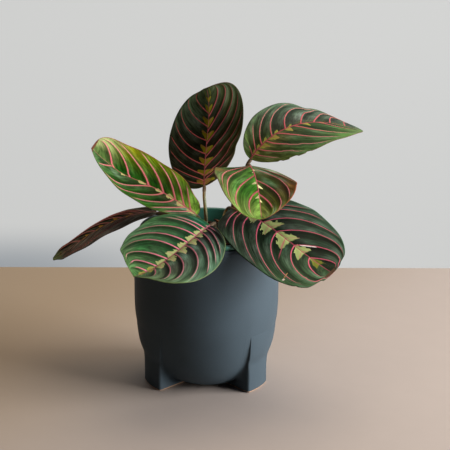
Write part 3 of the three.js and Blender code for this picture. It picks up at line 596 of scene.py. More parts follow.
def midrib(leaf, s):
    """Midrib points with their along, right and face directions at s.

    Heading is h0 + h1 s + h2 s^2, pitch p0 + p1 s + p2 s^3 and roll r0 + r1 s. The point is the
    base plus the running sum of the along direction.
    """
    t = np.linspace(0, 1, MIDRIB_STEPS + 1)
    heading, pitch, roll = leaf["heading"], leaf["pitch"], leaf["roll"]
    turn = np.radians(heading[0] + heading[1] * t + heading[2] * t ** 2)
    climb = np.radians(pitch[0] + pitch[1] * t + pitch[2] * t ** 3)
    bank = np.radians(roll[0] + roll[1] * t)[:, None]
    along = np.stack([np.cos(climb) * np.cos(turn), np.cos(climb) * np.sin(turn), np.sin(climb)], 1)
    level = np.stack([np.sin(turn), -np.cos(turn), 0 * turn], 1)
    up = np.cross(level, along)
    right = level * np.cos(bank) + up * np.sin(bank)
    face = up * np.cos(bank) - level * np.sin(bank)
    steps = (along[1:] + along[:-1]) / 2 * leaf["length"] / MIDRIB_STEPS
    point = np.concatenate([np.zeros((1, 3)), np.cumsum(steps, 0)]) + np.array(leaf["base"], float)
    read = np.clip(s, 0, 1)
    return [
        np.stack([np.interp(read, t, values[:, axis]) for axis in range(3)], -1)
        for values in (point, along, right, face)
    ]


def half_width(leaf, s, side):
    """Blade half width: s^base (1-s)^tip, scaled to 1 at its widest, times the widest width.

    Each dent takes off a bell of s, and a ragged stretch the positive part of value noise along s.
    """
    base = leaf["full"][0]
    tip = leaf["full"][1] * (1 + side * leaf["lopsided"][1])
    widest = base / (base + tip)
    s = np.clip(s, 1e-6, 1 - 1e-6)
    shape = (s / widest) ** base * ((1 - s) / (1 - widest)) ** tip
    for dented, at, length, share in leaf.get("dents", ()):
        shape = shape * (1 - (side == dented) * share * np.exp(-(((s - at) / length) ** 2)))
    for torn, low, high, share in leaf.get("ragged", ()):
        bites = np.maximum(0, value_noise(np.stack([s * 38, 0 * s, 0 * s], -1), 17))
        stretch = smooth(low - 0.02, low, s) * (1 - smooth(high, high + 0.02, s))
        shape = shape * (1 - (side == torn) * share * bites * stretch)
    return leaf["half_width"] * (1 + side * leaf["lopsided"][0]) * shape


def blade_surface(leaf, s, v):
    """Points of the upper face at s and v.

    A half is an arc in the plane square to the midrib. It rises at its fold angle and bends by its
    curl, so sideways is the change of the sine of the angle over the curl, and the rise that of
    its cosine.
    """
    s, v = np.broadcast_arrays(np.asarray(s, float), np.asarray(v, float))
    side = np.where(v < 0, -1.0, 1.0)
    across = np.abs(v) * half_width(leaf, s, side)
    fold = np.radians(np.where(v < 0, *leaf["fold"]))
    curl = np.radians(np.where(v < 0, *leaf["curl"])) / leaf["half_width"]
    turned = fold + curl * across
    sideways = (np.sin(turned) - np.sin(fold)) / curl
    rise = (np.cos(fold) - np.cos(turned)) / curl
    point, _, right, face = midrib(leaf, s)
    return point + right * (side * sideways)[..., None] + face * rise[..., None]


def vein_count(veins, s, v):
    """How many side veins lie between the base and each point, in parts of the gap between two.

    A vein runs through s = start + slope |v| + bend |v|^3, and stays clear of the one before it.
    """
    least_gap = 0.012
    out = np.abs(v)
    lines = [0 * out]
    for start, slope, bend, _ in veins:
        lines.append(np.maximum(start + slope * out + bend * out ** 3, lines[-1] + least_gap))
    lines.append(np.maximum(1.0 + 0 * out, lines[-1] + least_gap))
    return sum(
        np.clip((s - low) / (high - low), 0, 1) for low, high in zip(lines[:-1], lines[1:])
    )


def vein_strength(veins, count, v):
    """1 where the nearest vein is whole, falling to 0 over the last eighth of v before its end."""
    ends = np.array([0.0, *(vein[3] for vein in veins), 0.0])
    nearest = np.clip(np.round(count).astype(int), 0, len(veins) + 1)
    strength = 1 - smooth(-0.13, 0.0, np.abs(v) - ends[nearest])
    return strength * (ends[nearest] > 0)


def flash_place(flashes, s):
    """How far along its flash each point is, and that flash's half width.

    The first number rises by 1 over each flash and by 1 over each gap, so its odd unit steps are
    gaps.
    """
    flashes = np.array(flashes, float)
    stops = flashes[:, :2].ravel()
    along = np.interp(s, stops, np.arange(len(stops)), left=-1.0, right=len(stops) - 1.0)
    widths = flashes[:, 2]
    which = np.clip(np.floor(along / 2 + 0.25).astype(int), 0, len(widths) - 1)
    return along, widths[which]


def blade_skin(leaf, look, thickness, quilting):
    """The closed skin of one blade, with its vein pattern as attributes.

    Rows are even in the angle whose sine squared is s, columns crowd towards the midrib. The upper
    face is lifted along its normal by the quilting, the ripple of its edge and the midrib's
    groove, and the lower face lies below it by the thickness and the rib, a bell of the distance
    from the midrib. Where the midrib strays, v is shifted by a bell of s times 1 - v^2. The gap
    between two veins is one over the length of the vein count's slope on the surface, in
    millimetres, from the squared lengths of the two directions and their product.
    """
    s = np.sin(np.linspace(0.012, 1 - 0.012, BLADE_ROWS) * math.pi / 2) ** 2
    spread = np.linspace(-1, 1, UPPER_COLUMNS)
    v = np.sign(spread) * np.abs(spread) ** 1.35
    s_here, v_here = np.meshgrid(s, v, indexing="ij")
    at, length, offset = leaf.get("stray", (0.5, 0.1, 0.0))
    shifted = v_here + offset * np.exp(-(((s_here - at) / length) ** 2)) * (1 - v_here ** 2)
    surface = blade_surface(leaf, s_here, shifted)
    along_s = np.gradient(surface, axis=0) / np.gradient(s)[:, None, None]
    along_v = np.gradient(surface, axis=1) / np.gradient(v)[None, :, None]
    normal = unit(np.cross(along_v, along_s))
    on_left = v_here < 0
    halves = (leaf["veins_left"], leaf["veins_right"])
    counts = [vein_count(veins, s_here, v_here) for veins in halves]
    count = np.where(on_left, *counts)
    slope_s = np.where(on_left, *(np.gradient(each, s, axis=0) for each in counts))
    slope_v = np.where(on_left, *(np.gradient(each, v, axis=1) for each in counts))
    ss = (along_s * along_s).sum(-1)
    vv = (along_v * along_v).sum(-1)
    sv = (along_s * along_v).sum(-1)
    steepness = slope_s ** 2 * vv - 2 * slope_s * slope_v * sv + slope_v ** 2 * ss
    gap = 1 / np.sqrt(np.maximum(steepness / np.maximum(ss * vv - sv ** 2, 1e-9), 1e-6))
    gap = np.clip(gap, 1.5, 40)
    side = np.where(on_left, -1.0, 1.0)
    width = half_width(leaf, s_here, side)
    across = v_here * width
    edge = (1 - np.abs(v_here)) * width

    ahead = count - np.floor(count)
    depth = np.where(on_left, *leaf["quilt"]) * quilting
    swell = 0.5 + 0.5 * np.cos(2 * math.pi * ahead ** 0.62)
    reach = smooth(1, 9, np.abs(across)) * (0.35 + 0.65 * smooth(0, 9, edge))
    ends = smooth(0.02, 0.12, s)[:, None] * smooth(0.01, 0.12, 1 - s)[:, None]
    relief = depth * (swell - 0.6) * reach * ends
    ripple = 0.5 * smooth(0.6, 1, np.abs(v_here)) * np.sin(20 * s_here + 2 * side) * ends
    rib = np.exp(-((across / 2.4) ** 2)) * (1 - 0.75 * s)[:, None]
    groove = -0.25 * np.exp(-((across / 1.6) ** 2)) * ends
    upper = surface + normal * (relief + ripple + groove)[..., None]
    thin = thickness * (0.55 + 0.45 * smooth(0, 2.5, edge))
    below = 0.8 * relief + ripple - thin - 1.2 * rib * ends ** 0.5
    lower = surface + normal * below[..., None]
    back = np.unique(np.round(np.linspace(0, UPPER_COLUMNS - 1, LOWER_COLUMNS)).astype(int))[::-1]
    strength = np.where(on_left, *(vein_strength(veins, count, v_here) for veins in halves))
    flash_steps, flash_widths = zip(*(flash_place(flashes, s_here) for flashes in look["flashes"]))
    attributes = {
        "lamina": (count, v_here, s_here),
        "lengths": (gap, across, edge),
        "marks": (strength, np.where(on_left, *flash_steps), np.where(on_left, *flash_widths)),
    }
    material = np.repeat([FACE, UNDERSIDE, FACE], [UPPER_COLUMNS - 1, len(back), 1])
    return skin(np.concatenate([upper, lower[:, back]], 1), material, {
        name: np.concatenate([values, values[:, back]], 1)
        for name, values in ((name, np.stack(three, -1)) for name, three in attributes.items())
    })


# Petioles and the shoot


def shoot_path(count=60):
    """The shoot's middle line, from the bottom of its hole in the soil to its top."""
    x, y = SHOOT["root"]
    return curve_through([
        (x - 2, y, SOIL_TOP - HOLE_DEPTH), (x, y, SOIL_TOP), (x + 5, y, SOIL_TOP + 20), SHOOT["top"],
    ], count)


def petiole_path(leaf):
    """The petiole's middle line, from the soil or the shoot's socket into the blade's underside.

    It is a curve through its foot, its neck and the points between them that the lean at its foot
    and the blade's own direction give, each a share of the span away.
    """
    point, along, _, face = midrib(leaf, np.array([0, PETIOLE["into_blade"] / leaf["length"]]))
    sunk = 0.7 + PETIOLE["neck_radius"] * 0.55
    neck = point[0] - face[0] * sunk
    end = point[1] - face[1] * sunk
    if "on_shoot" in leaf:
        line = shoot_path()
        direction = unit(line[-1] - line[-2])
        aside = np.array([0, leaf["on_shoot"], 0])
        foot = line[-1] - direction * SHOOT["socket_depth"] + aside * SHOOT["socket_offset"]
        span = np.linalg.norm(neck - foot)
        away = foot + (direction + aside * 0.12) * span * 0.4
        back = neck - along[0] * span * 0.14
        return curve_through([foot, away, back, neck, end], PETIOLE_STEPS)
    x, y = leaf["root"]
    lean = np.array([*leaf["lean"], 0.0])
    ground = np.array([x, y, SOIL_TOP], float)
    foot = ground - (lean + np.array([0, 0, 1])) * HOLE_DEPTH
    span = np.hypot(neck[2] - SOIL_TOP, np.hypot(*(neck[:2] - ground[:2])))
    low = ground + unit(lean + np.array([0, 0, 1])) * span * 0.35
    back = neck - along[0] * span * leaf.get("neck", 0.3)
    return curve_through([foot, ground, low, back, neck, end], PETIOLE_STEPS)


def petiole_skin(leaf):
    """A tube that narrows from its root to its neck and swells over its last 9 mm, at the joint."""
    path = petiole_path(leaf)
    u = np.linspace(0, 1, len(path))
    start = PETIOLE["fork_radius"] if "on_shoot" in leaf else PETIOLE["root_radius"]
    radius = start + (PETIOLE["neck_radius"] - start) * u
    length = np.linalg.norm(np.diff(path, axis=0), axis=1).sum()
    from_blade = (1 - u) * length - PETIOLE["into_blade"]
    joint = smooth(-2, 1.5, from_blade) * (1 - smooth(6, 10, from_blade))
    radius = (radius + 0.35 * joint) * (1 - 0.55 * smooth(0, PETIOLE["into_blade"], -from_blade))
    rings = tube_rings(path, radius, PETIOLE_SIDES)
    place = np.stack([u * length, from_blade, joint], 1)[:, None] + np.zeros((1, PETIOLE_SIDES, 1))
    aside = (rings - path[:, None]) / radius[:, None, None]
    return skin(rings, np.full(PETIOLE_SIDES, STALK), {"lengths": place, "lamina": aside})


# Shaders


class Value:
    """A number on a shader's socket. Each operator and method adds the Math node that it names."""

    def __init__(self, graph, socket):
        self.graph = graph
        self.socket = socket

    def maths(self, operation, *others):
        """A Math node that takes this number first."""
        inputs = dict(enumerate((self, *others)))
        return self.graph.node("ShaderNodeMath", {"operation": operation}, inputs)

    def maths_after(self, operation, first):
        """A Math node that takes this number second."""
        return self.graph.node("ShaderNodeMath", {"operation": operation}, {0: first, 1: self})

    def __add__(self, other):
        return self.maths("ADD", other)

    def __radd__(self, other):
        return self.maths("ADD", other)

    def __sub__(self, other):
        return self.maths("SUBTRACT", other)

    def __rsub__(self, other):
        return self.maths_after("SUBTRACT", other)

    def __mul__(self, other):
        return self.maths("MULTIPLY", other)

    def __rmul__(self, other):
        return self.maths("MULTIPLY", other)

    def __truediv__(self, other):
        return self.maths("DIVIDE", other)

    def __rtruediv__(self, other):
        return self.maths_after("DIVIDE", other)

    def __pow__(self, other):
        return self.maths("POWER", other)

    def __rpow__(self, other):
        return self.maths_after("POWER", other)

    def __abs__(self):
        return self.maths("ABSOLUTE")

    def at_most(self, other):
        """The smaller of the two."""
        return self.maths("MINIMUM", other)

    def at_least(self, other):
        """The larger of the two."""
        return self.maths("MAXIMUM", other)

    def whole(self):
        """The whole number below."""
        return self.maths("FLOOR")

    def rise(self, low, high):
        """0 below low and 1 above high, smooth between; high may be the lower one, for a fall."""
        return self.graph.node(
            "ShaderNodeMapRange", {"interpolation_type": "SMOOTHSTEP"},
            {"Value": self, "From Min": low, "From Max": high})


class Graph:
    """The nodes of one material."""

    def __init__(self, name, **constants):
        self.material = bpy.data.materials.new(name)
        self.material.use_nodes = True
        self.tree = self.material.node_tree
        self.tree.nodes.clear()
        self.shader = self.tree.nodes.new("ShaderNodeBsdfPrincipled")
        output = self.tree.nodes.new("ShaderNodeOutputMaterial")
        self.tree.links.new(self.shader.outputs[0], output.inputs["Surface"])
        for label, value in constants.items():
            self.shader.inputs[label.replace("_", " ")].default_value = value

    def node(self, kind, settings=None, inputs=None, output=0):
        """Adds a node, sets its settings, then its sockets' values or links."""
        made = self.tree.nodes.new(kind)
        for label, value in (settings or {}).items():
            setattr(made, label, value)
        for label, value in (inputs or {}).items():
            self.put(made.inputs[label], value)
        return Value(self, made.outputs[output])

    def put(self, socket, value):
        """Links a value to a socket, or sets the socket to a number or a colour."""
        if isinstance(value, Value):
            self.tree.links.new(value.socket, socket)
        elif isinstance(value, tuple) and len(value) == 3 and len(socket.default_value) == 4:
            socket.default_value = (*value, 1.0)
        else:
            socket.default_value = value

    def mix(self, factor, below, above, blend="MIX"):
        """The colour below at factor 0 and above at 1, or above times below where it multiplies."""
        return self.node(
            "ShaderNodeMix", {"data_type": "RGBA", "blend_type": blend},
            {0: factor, 6: below, 7: above}, output=2)

    def attribute(self, name):
        """The three numbers of a piece's own attribute."""
        vector = self.node("ShaderNodeAttribute", {"attribute_name": name}, output="Vector")
        return self.parts(vector)

    def scaled(self, colour, factor):
        """A colour times a number."""
        return self.node(
            "ShaderNodeVectorMath", {"operation": "SCALE"}, {0: colour, "Scale": factor})

    def tinted(self, colour, factors):
        """A colour times three numbers, one for each of red, green and blue."""
        return self.node("ShaderNodeVectorMath", {"operation": "MULTIPLY"}, {0: colour, 1: factors})

    def parts(self, vector):
        """The x, y and z of a vector."""
        first = self.node("ShaderNodeSeparateXYZ", None, {0: vector})
        return [Value(self, output) for output in first.socket.node.outputs]

    def vector(self, x, y, z):
        """Three numbers as one vector."""
        return self.node("ShaderNodeCombineXYZ", None, {0: x, 1: y, 2: z})

    def place(self):
        """The point's place in the frame, in metres."""
        return self.node("ShaderNodeTexCoord", output="Object")

    def noise(self, vector, scale, detail=2.0, roughness=0.5):
        """Smooth noise from 0 to 1, with scale waves to each unit of the vector."""
        return self.node(
            "ShaderNodeTexNoise", None,
            {"Vector": vector, "Scale": scale, "Detail": detail, "Roughness": roughness})

    def streaks(self, stretch, scale, detail=3.0):
        """Noise drawn out along the vertical: its z is shrunk by the stretch."""
        squeezed = self.node(
            "ShaderNodeMapping", None, {"Vector": self.place(), "Scale": (1, 1, stretch)})
        return self.noise(squeezed, scale, detail)

    def bump(self, height, strength, distance):
        """Raises the surface's shading by a height from 0 to 1 times a distance in metres."""
        normal = self.node(
            "ShaderNodeBump", None,
            {"Height": height, "Strength": strength, "Distance": distance}, output="Normal")
        self.put(self.shader.inputs["Normal"], normal)

    def finish(self, colour, roughness):
        """Sets the shader's colour and roughness and gives the material."""
        self.put(self.shader.inputs["Base Color"], colour)
        self.put(self.shader.inputs["Roughness"], roughness)
        return self.material


def shaded(colour, share):
    """A plain colour times a number."""
    return tuple(part * share for part in colour)


def leaf_face_material(name, look, settings):
    """The patterned upper face of one leaf.

    ahead is the share of the gap since the last vein, and nearest the distance to the closer vein in
    parts of the gap. A tint and a fleck fade with the distance from their middle over their size. A
    flash covers the points whose distance from the midrib is less than its half width times its
    growth along the flash. A vein covers those whose distance is less than its own half width.
    """
    graph = Graph(name, Specular_IOR_Level=look.get("gloss", 0.14))
    count, v, s = graph.attribute("lamina")
    gap, across, edge = graph.attribute("lengths")
    strength, flash_step, flash_width = graph.attribute("marks")
    out = abs(across)
    right = across.rise(-0.15, 0.15)
    ahead = count - count.whole()
    nearest = abs(ahead - (ahead + 0.5).whole())
    feather = graph.noise(graph.vector(count * 8, across * 0.12, s * 5), 1.0, 3.0, 0.65)
    band = graph.noise(graph.vector(count * 3.3 + 5, across * 0.04, s * 2), 1.0, 2.0)
    cloud = graph.noise(graph.vector(across * 0.07, s * 8, 3.0), 1.0, 3.0)
    tooth = graph.noise(graph.vector(count * 7, across * 0.22, 9.0), 1.0, 1.0)

    def between(pair):
        """A number that differs from the left half to the right."""
        return right * (pair[1] - pair[0]) + pair[0]

    def lamina_half(tones):
        """One half's tone: from near to far by |v|, then to the tip's by s, and the base's."""
        near, far, tip, base = tones
        tone = graph.mix(abs(v).rise(0.1, 0.95), near, far)
        tone = graph.mix(s.rise(look.get("tip_from", 0.5), 0.97) * (abs(v) * 0.5 + 0.5), tone, tip)
        return graph.mix(s.rise(0.38, 0.05), tone, base)

    # The lamina: its tones, painted shade in the quilting's hollows, painted sheen on its crests, its
    # grain and its tints, which are partly painted light and shade
    lamina = graph.mix(right, lamina_half(look["left"]), lamina_half(look["right"]))
    # Painted shade: the face darkens in the hollow on the tip side of each side vein, and the rest is
    # lifted a little to make up for it.
    hollow = ahead.rise(0.01, 0.13) * ahead.rise(0.66, 0.2) * out.rise(1, 8) * edge.rise(1, 9)
    depth = between(look["hollow"])
    lamina = graph.scaled(lamina, depth * 0.28 + 1.0 - hollow * depth)
    # Painted sheen: a pale grey-green laid in soft clouds over the crests between the veins.
    crest = ahead.rise(0.35, 0.8) * ahead.rise(1.0, 0.9)
    sheen = crest * out.rise(3, 12) * (cloud * 1.6).rise(0.3, 1.0)
    lamina = graph.mix(sheen * between(look["sheen"]), lamina, rgb(172, 190, 176))
    grain = (feather * 3.2 - 0.55) * (band * 1.8 + 0.1) * (cloud * 1.2 + 0.4)
    lamina = graph.scaled(lamina, grain.at_least(0.1))
    # The tints are soft patches that stand partly for painted light and shade and partly for the leaf's
    # own colour.
    for s_at, v_at, height, width, factors in look.get("tints_and_painted_light", ()):
        off = ((s - s_at) / height) ** 2 + ((v - v_at) / width) ** 2
        lamina = graph.mix(off.rise(1.0, 0.0), lamina, graph.tinted(lamina, factors))

    # The light flashes along the midrib
    start, growth, middle_end, lobe_end = look["flash_shape"]
    along = flash_step - (flash_step * 0.5).whole() * 2
    jag = (tooth - 0.5) * look["teeth"]
    reach = flash_width * ((along * growth + start).at_most(1.0) + jag * 2)
    across_flash = (out / flash_width).at_most(1.3)
    stop = across_flash * (lobe_end - middle_end) + middle_end + jag * 0.4
    flash = (reach - out).rise(-0.35, 0.35) * (stop - along).rise(-0.03, 0.05)
    flash = flash * flash_step.rise(-0.02, 0.02)
    flash_tone = graph.mix(s.rise(0.72, 0.86), look["flash"], look["flash_tip"])
    flash_tone = graph.scaled(flash_tone, feather * 0.5 + 0.75)
    lamina = graph.mix(flash * 0.95, lamina, flash_tone)

    # The margin, the side veins with their halos, and the short lines inside the flashes
    margin = graph.mix(right, look["margin"][0], look["margin"][1])
    lamina = graph.mix(edge.rise(1.5, 0.3) * 0.85, lamina, margin)
    vein_tone = graph.mix(abs(v).rise(0.2, 0.95), look["vein"], look["vein_end"])
    # vein_light is partly painted light, the veins of each half made lighter or darker for how the light
    # falls on it, and partly the veins' own colour.
    if "vein_light" in look:
        vein_tone = graph.scaled(vein_tone, between(look["vein_light"]))
    half = settings.vein_width * HALF_IN_MM * look["vein_width"] * (1.08 - 0.5 * abs(v))
    half = half * (s.rise(-0.05, 0.2) * 0.35 + 0.65)
    vein = ((nearest * gap + (feather - 0.5) * 0.2) / half).rise(1.35, 0.65)
    vein = vein * strength * edge.rise(0.5, 3.0)
    if "halo" in look:
        share, tone = look["halo"]
        halo = (nearest * gap / half).rise(3.2, 0.8) * strength * (band * 2.0 - 0.4).rise(0.1, 0.9)
        lamina = graph.mix(halo * share, lamina, tone)
    spur = (abs(ahead - 0.5) * gap).rise(0.6, 0.2) * flash * flash_width.rise(4, 6)
    lamina = graph.mix(spur * 0.6, lamina, look["vein"])
    if "long_spur" in look:
        spur_at, spur_length, spur_rise, blade_length = look["long_spur"]
        line = abs(s - spur_at - across * spur_rise) * blade_length
        spur = line.rise(0.9, 0.3) * across.rise(0.5, 1.5) * across.rise(spur_length, spur_length * 0.7)
        lamina = graph.mix(spur * 0.7, lamina, look["vein"])

    # The veins' colour, the midrib and the flecks over them all
    colour = graph.mix(vein * 0.95, lamina, vein_tone)
    rib_half = settings.midrib_width * HALF_IN_MM * (1.15 - 0.75 * s)
    rib = (out / rib_half).rise(1.3, 0.7) * s.rise(1.0, 0.95)
    colour = graph.mix(rib * 0.85, colour, shaded(look["vein"], 0.68))
    for s_at, v_at, slope, height, width, tone in look.get("flecks", ()):
        off = abs(s - s_at - (v - v_at) * slope) / height
        spot = off.rise(1.2, 0.7) * (abs(v - v_at) / width).rise(1.1, 0.8)
        colour = graph.mix(spot, colour, tone)
    # Painted light: shade makes one half of the whole face lighter or darker for how the light falls on
    # it.
    if "shade" in look:
        colour = graph.scaled(colour, between(look["shade"]))
    graph.bump(vein * 0.5 + rib * 0.6 + feather * 0.5, 0.6, 0.0006)
    return graph.finish(colour, (feather - 0.5) * 0.25 + 0.45)


def leaf_back_material(settings):
    """The wine-red underside that all the leaves share, darker at the edge, with pale veins."""
    graph = Graph("leaf_underside", Specular_IOR_Level=0.35)
    count, v, s = graph.attribute("lamina")
    gap, across, edge = graph.attribute("lengths")
    grain = graph.noise(graph.vector(count * 9, across * 0.05, s * 2), 1.0, 3.0)
    ahead = count - count.whole()
    nearest = abs(ahead - (ahead + 0.5).whole())
    vein = (nearest * gap).rise(1.3, 0.3) * edge.rise(0.3, 3.0) * count.rise(0.6, 0.8)
    rib = abs(across).rise(2.2, 1.0)
    base = tuple(settings.underside_colour)
    colour = graph.mix(abs(v).rise(0.2, 1.0) * 0.5, base, shaded(base, 0.6))
    colour = graph.mix(grain - 0.2, colour, (1.5, 1.3, 1.3), "MULTIPLY")
    colour = graph.mix(vein * 0.5, colour, rgb(150, 70, 80))
    colour = graph.mix(rib * 0.8, colour, rgb(132, 84, 62))
    graph.bump(vein * 0.6 + grain * 0.3, 0.5, 0.0006)
    return graph.finish(colour, 0.55)


def petiole_material(settings):
    """Grey-green stalk, golden brown along its left side, red-brown at the joint under the blade."""
    graph = Graph("petiole_skin", Specular_IOR_Level=0.4)
    along, from_blade, joint = graph.attribute("lengths")
    aside, _, _ = graph.attribute("lamina")
    streak = graph.streaks(0.12, 900, 2.0)
    mottle = graph.noise(graph.place(), 160)
    # Partly painted light: the golden brown along the left side stands partly for the stalk's own colour
    # and partly for how the light falls on that side.
    brown = (aside + mottle - 0.5).rise(0.25, -0.25)
    colour = graph.mix(brown * 0.7, tuple(settings.petiole_colour), rgb(214, 158, 74))
    colour = graph.mix(along.rise(26, 18) * 0.7, colour, rgb(84, 60, 36))
    colour = graph.mix(from_blade.rise(19, 9) * 0.85, colour, rgb(80, 54, 32))
    colour = graph.mix(joint * 0.7, colour, rgb(66, 46, 26))
    colour = graph.mix(streak - 0.2, colour, (1.5, 1.5, 1.4), "MULTIPLY")
    graph.bump(streak, 0.3, 0.0003)
    return graph.finish(colour, 0.5)


def shoot_material(settings):
    """Brown shoot, mottled and streaked along its length."""
    graph = Graph("shoot_skin")
    streak = graph.streaks(0.1, 1100)
    mottle = graph.noise(graph.place(), 120, 3.0)
    colour = graph.mix(mottle.rise(0.3, 0.7), tuple(settings.shoot_colour), rgb(146, 112, 72))
    colour = graph.mix((streak - 0.5) * 1.4 + 0.3, colour, (1.6, 1.5, 1.4), "MULTIPLY")
    graph.bump(streak, 0.5, 0.0005)
    return graph.finish(colour, 0.6)


def sheath_material(settings):
    """Papery brown sheath, streaked along its length."""
    graph = Graph("dry_sheath", Specular_IOR_Level=0.2)
    streak = graph.streaks(0.08, 1500)
    mottle = graph.noise(graph.place(), 200, 3.0)
    shade = shaded(settings.shoot_colour, 0.7)
    colour = graph.mix((streak * 1.6 - 0.3).rise(0.2, 0.8), shade, rgb(150, 108, 66))
    colour = graph.mix(mottle.rise(0.5, 0.7) * 0.6, colour, rgb(72, 44, 28))
    graph.bump(streak, 0.5, 0.0005)
    return graph.finish(colour, 0.75)


def stoneware_material(settings):
    """Matt slate glaze with a fine tooth, bare clay at the very bottom of the feet."""
    graph = Graph("slate_glaze", Specular_IOR_Level=0.08)
    place = graph.place()
    _, _, z = graph.parts(place)
    tooth = graph.noise(place, 1400)
    cloud = graph.noise(place, 28, 3.0)
    base = tuple(settings.glaze_colour)
    colour = graph.mix(cloud.rise(0.3, 0.7) * 0.35, base, shaded(base, 0.82))
    colour = graph.mix(tooth.rise(0.62, 0.74) * 0.25, colour, shaded(base, 1.7))
    wobble = graph.noise(place, 90, 1.0)
    bare = (z * 1000 + wobble * 0.8).rise(1.9, 1.3)
    colour = graph.mix(bare, colour, tuple(settings.clay_colour))
    graph.bump(tooth + cloud * 0.4, 0.25, 0.0003)
    return graph.finish(colour, cloud * 0.12 + 0.52)


def plastic_material(settings):
    """Dull moulded plastic with faint handling marks."""
    graph = Graph("growing_pot_plastic", Specular_IOR_Level=0.45)
    place = graph.place()
    fine = graph.noise(place, 700, 3.0)
    dust = graph.noise(place, 60, 4.0)
    base = tuple(settings.plastic_colour)
    colour = graph.mix(dust.rise(0.5, 0.8) * 0.25, base, rgb(120, 138, 126))
    graph.bump(fine, 0.2, 0.0003)
    return graph.finish(colour, dust * 0.25 + 0.32)


def soil_material(settings):
    """Dark damp peat with lighter crumbs."""
    graph = Graph("damp_peat", Specular_IOR_Level=0.25)
    place = graph.place()
    crumbs = graph.noise(place, 420, 5.0, 0.65)
    patches = graph.noise(place, 70, 3.0)
    base = tuple(settings.soil_colour)
    colour = graph.mix(crumbs.rise(0.4, 0.7), shaded(base, 0.45), base)
    colour = graph.mix(patches.rise(0.55, 0.75) * 0.5, colour, rgb(74, 54, 38))
    graph.bump(crumbs, 0.9, 0.002)
    return graph.finish(colour, 0.9)


def crumb_material(name, dark, light, scale):
    """Loose bits in the soil."""
    graph = Graph(name, Specular_IOR_Level=0.25)
    place = graph.place()
    grain = graph.noise(place, scale, 3.0)
    colour = graph.mix(grain.rise(0.3, 0.7), dark, light)
    graph.bump(grain, 0.6, 0.0006)
    return graph.finish(colour, 0.85)


# Settings


def colour_property(name, description, default):
    """A colour, shown as a swatch."""
    return FloatVectorProperty(
        name=name, description=description, subtype="COLOR", size=3, default=default, min=0, max=1)


def length_property(name, description, default, low, high):
    """A length in metres, shown in the scene's unit."""
    return FloatProperty(
        name=name, description=description, default=default, min=low, max=high, unit="LENGTH")


class PrayerPlantPotSettings(PropertyGroup):
    """Finish of the two pots."""

    glaze_colour: colour_property("Glaze", "Colour of the cover pot's glaze", rgb(66, 78, 86))
    clay_colour: colour_property(
        "Bare clay", "Colour of the unglazed rim under the feet", rgb(196, 158, 128))
    foot_round: length_property(
        "Foot rounding", "Radius of the edges of the feet", 0.0025, 0.0005, 0.006)
    plastic_colour: colour_property("Plastic", "Colour of the growing pot", rgb(44, 100, 84))


class PrayerPlantSoilSettings(PropertyGroup):
    """The potting mix."""

    soil_colour: colour_property("Peat", "Colour of the potting mix", rgb(50, 38, 30))
    roughness_height: length_property(
        "Crumb height", "How far crumbs stand out of the soil's surface", 0.0022, 0, 0.006)
    bits: IntProperty(
        name="Loose bits", description="Pieces of bark and perlite on the soil", default=420,
        min=0, max=900)


class PrayerPlantLeafSettings(PropertyGroup):
    """What all the leaves share."""

    thickness: length_property(
        "Blade thickness", "Thickness of a blade away from its rib", 0.0007, 0.0003, 0.002)
    vein_width: length_property(
        "Vein width", "Width of a side vein where it leaves the midrib", 0.0012, 0.0005, 0.003)
    midrib_width: length_property(
        "Midrib width", "Width of the midrib's colour near its base", 0.0015, 0.0005, 0.004)
    quilting: FloatProperty(
        name="Quilting", description="Depth of the hollows between veins, against the default",
        default=1.0, min=0, max=2)
    underside_colour: colour_property(
        "Underside", "Colour of the leaves' undersides", rgb(92, 34, 50))
    petiole_colour: colour_property("Petiole", "Colour of the leaf stalks", rgb(148, 152, 116))
    shoot_colour: colour_property("Shoot", "Colour of the right-hand shoot", rgb(92, 64, 40))


class PrayerPlantStageSettings(PropertyGroup):
    """Light, floor and backdrop."""

    key_power: FloatProperty(
        name="Key light", description="Power of the large light on the right", default=75.0,
        min=0, max=500, unit="POWER")
    top_power: FloatProperty(
        name="Top light", description="Power of the warm light overhead", default=18.0, min=0,
        max=500, unit="POWER")
    floor_colour: colour_property("Floor", "Colour of the floor", rgb(176, 164, 157))
    # Painted shade: the darker, browner colour that the floor turns to towards the far left.
    floor_shade_colour: colour_property(
        "Floor on the left", "Colour that the floor turns to on the left", rgb(158, 138, 114))
    wall_colour: colour_property("Wall", "Colour of the backdrop", rgb(206, 207, 206))


# Operators


class PRAYERPLANT_OT_cover_pot(Operator):
    """Adds the footed stoneware cover pot"""

    bl_idname = "prayerplant.cover_pot"
    bl_label = "Add Cover Pot"

    def execute(self, context):
        settings = context.scene.prayer_plant_pot
        bowl = skin(turned_profile(bowl_profile(), POT_SIDES))
        feet = [
            foot_skin(FEET["first_angle"] + i * 360 / FEET["count"], settings.foot_round * 1000)
            for i in range(FEET["count"])
        ]
        make_piece(
            "stoneware_cover_pot", joined([bowl, *feet]), [stoneware_material(settings)],
            ["cover_pot"])
        return {"FINISHED"}


def bowl_radius(z):
    """Outside radius of the bowl at height z.

    Below the widest height it is the base radius plus the rest times (1 - d^belly)^(1/root), where
    d is the share of the way down, less a waist that is a squared sine of the height. Above it, it
    draws in by the shoulder power of the way up.
    """
    z = np.asarray(z, float)
    widest, top, full = BOWL["widest_height"], BOWL["height"], BOWL["widest_radius"]
    up = np.clip((z - widest) / (top - widest), 0, 1)
    down = np.clip((widest - z) / (widest - BOWL["base_height"]), 0, 1)
    belly = np.maximum(0, 1 - down ** BOWL["belly_power"]) ** (1 / BOWL["belly_root"])
    below = BOWL["base_radius"] + (full - BOWL["base_radius"]) * belly
    drawn_in = np.clip((z - BOWL["waist_from"]) / BOWL["waist_height"], 0, 1)
    below = below - BOWL["waist"] * np.sin(math.pi * drawn_in) ** 2
    above = full - (full - BOWL["rim_radius"]) * up ** BOWL["shoulder_power"]
    return np.where(z >= widest, above, below)


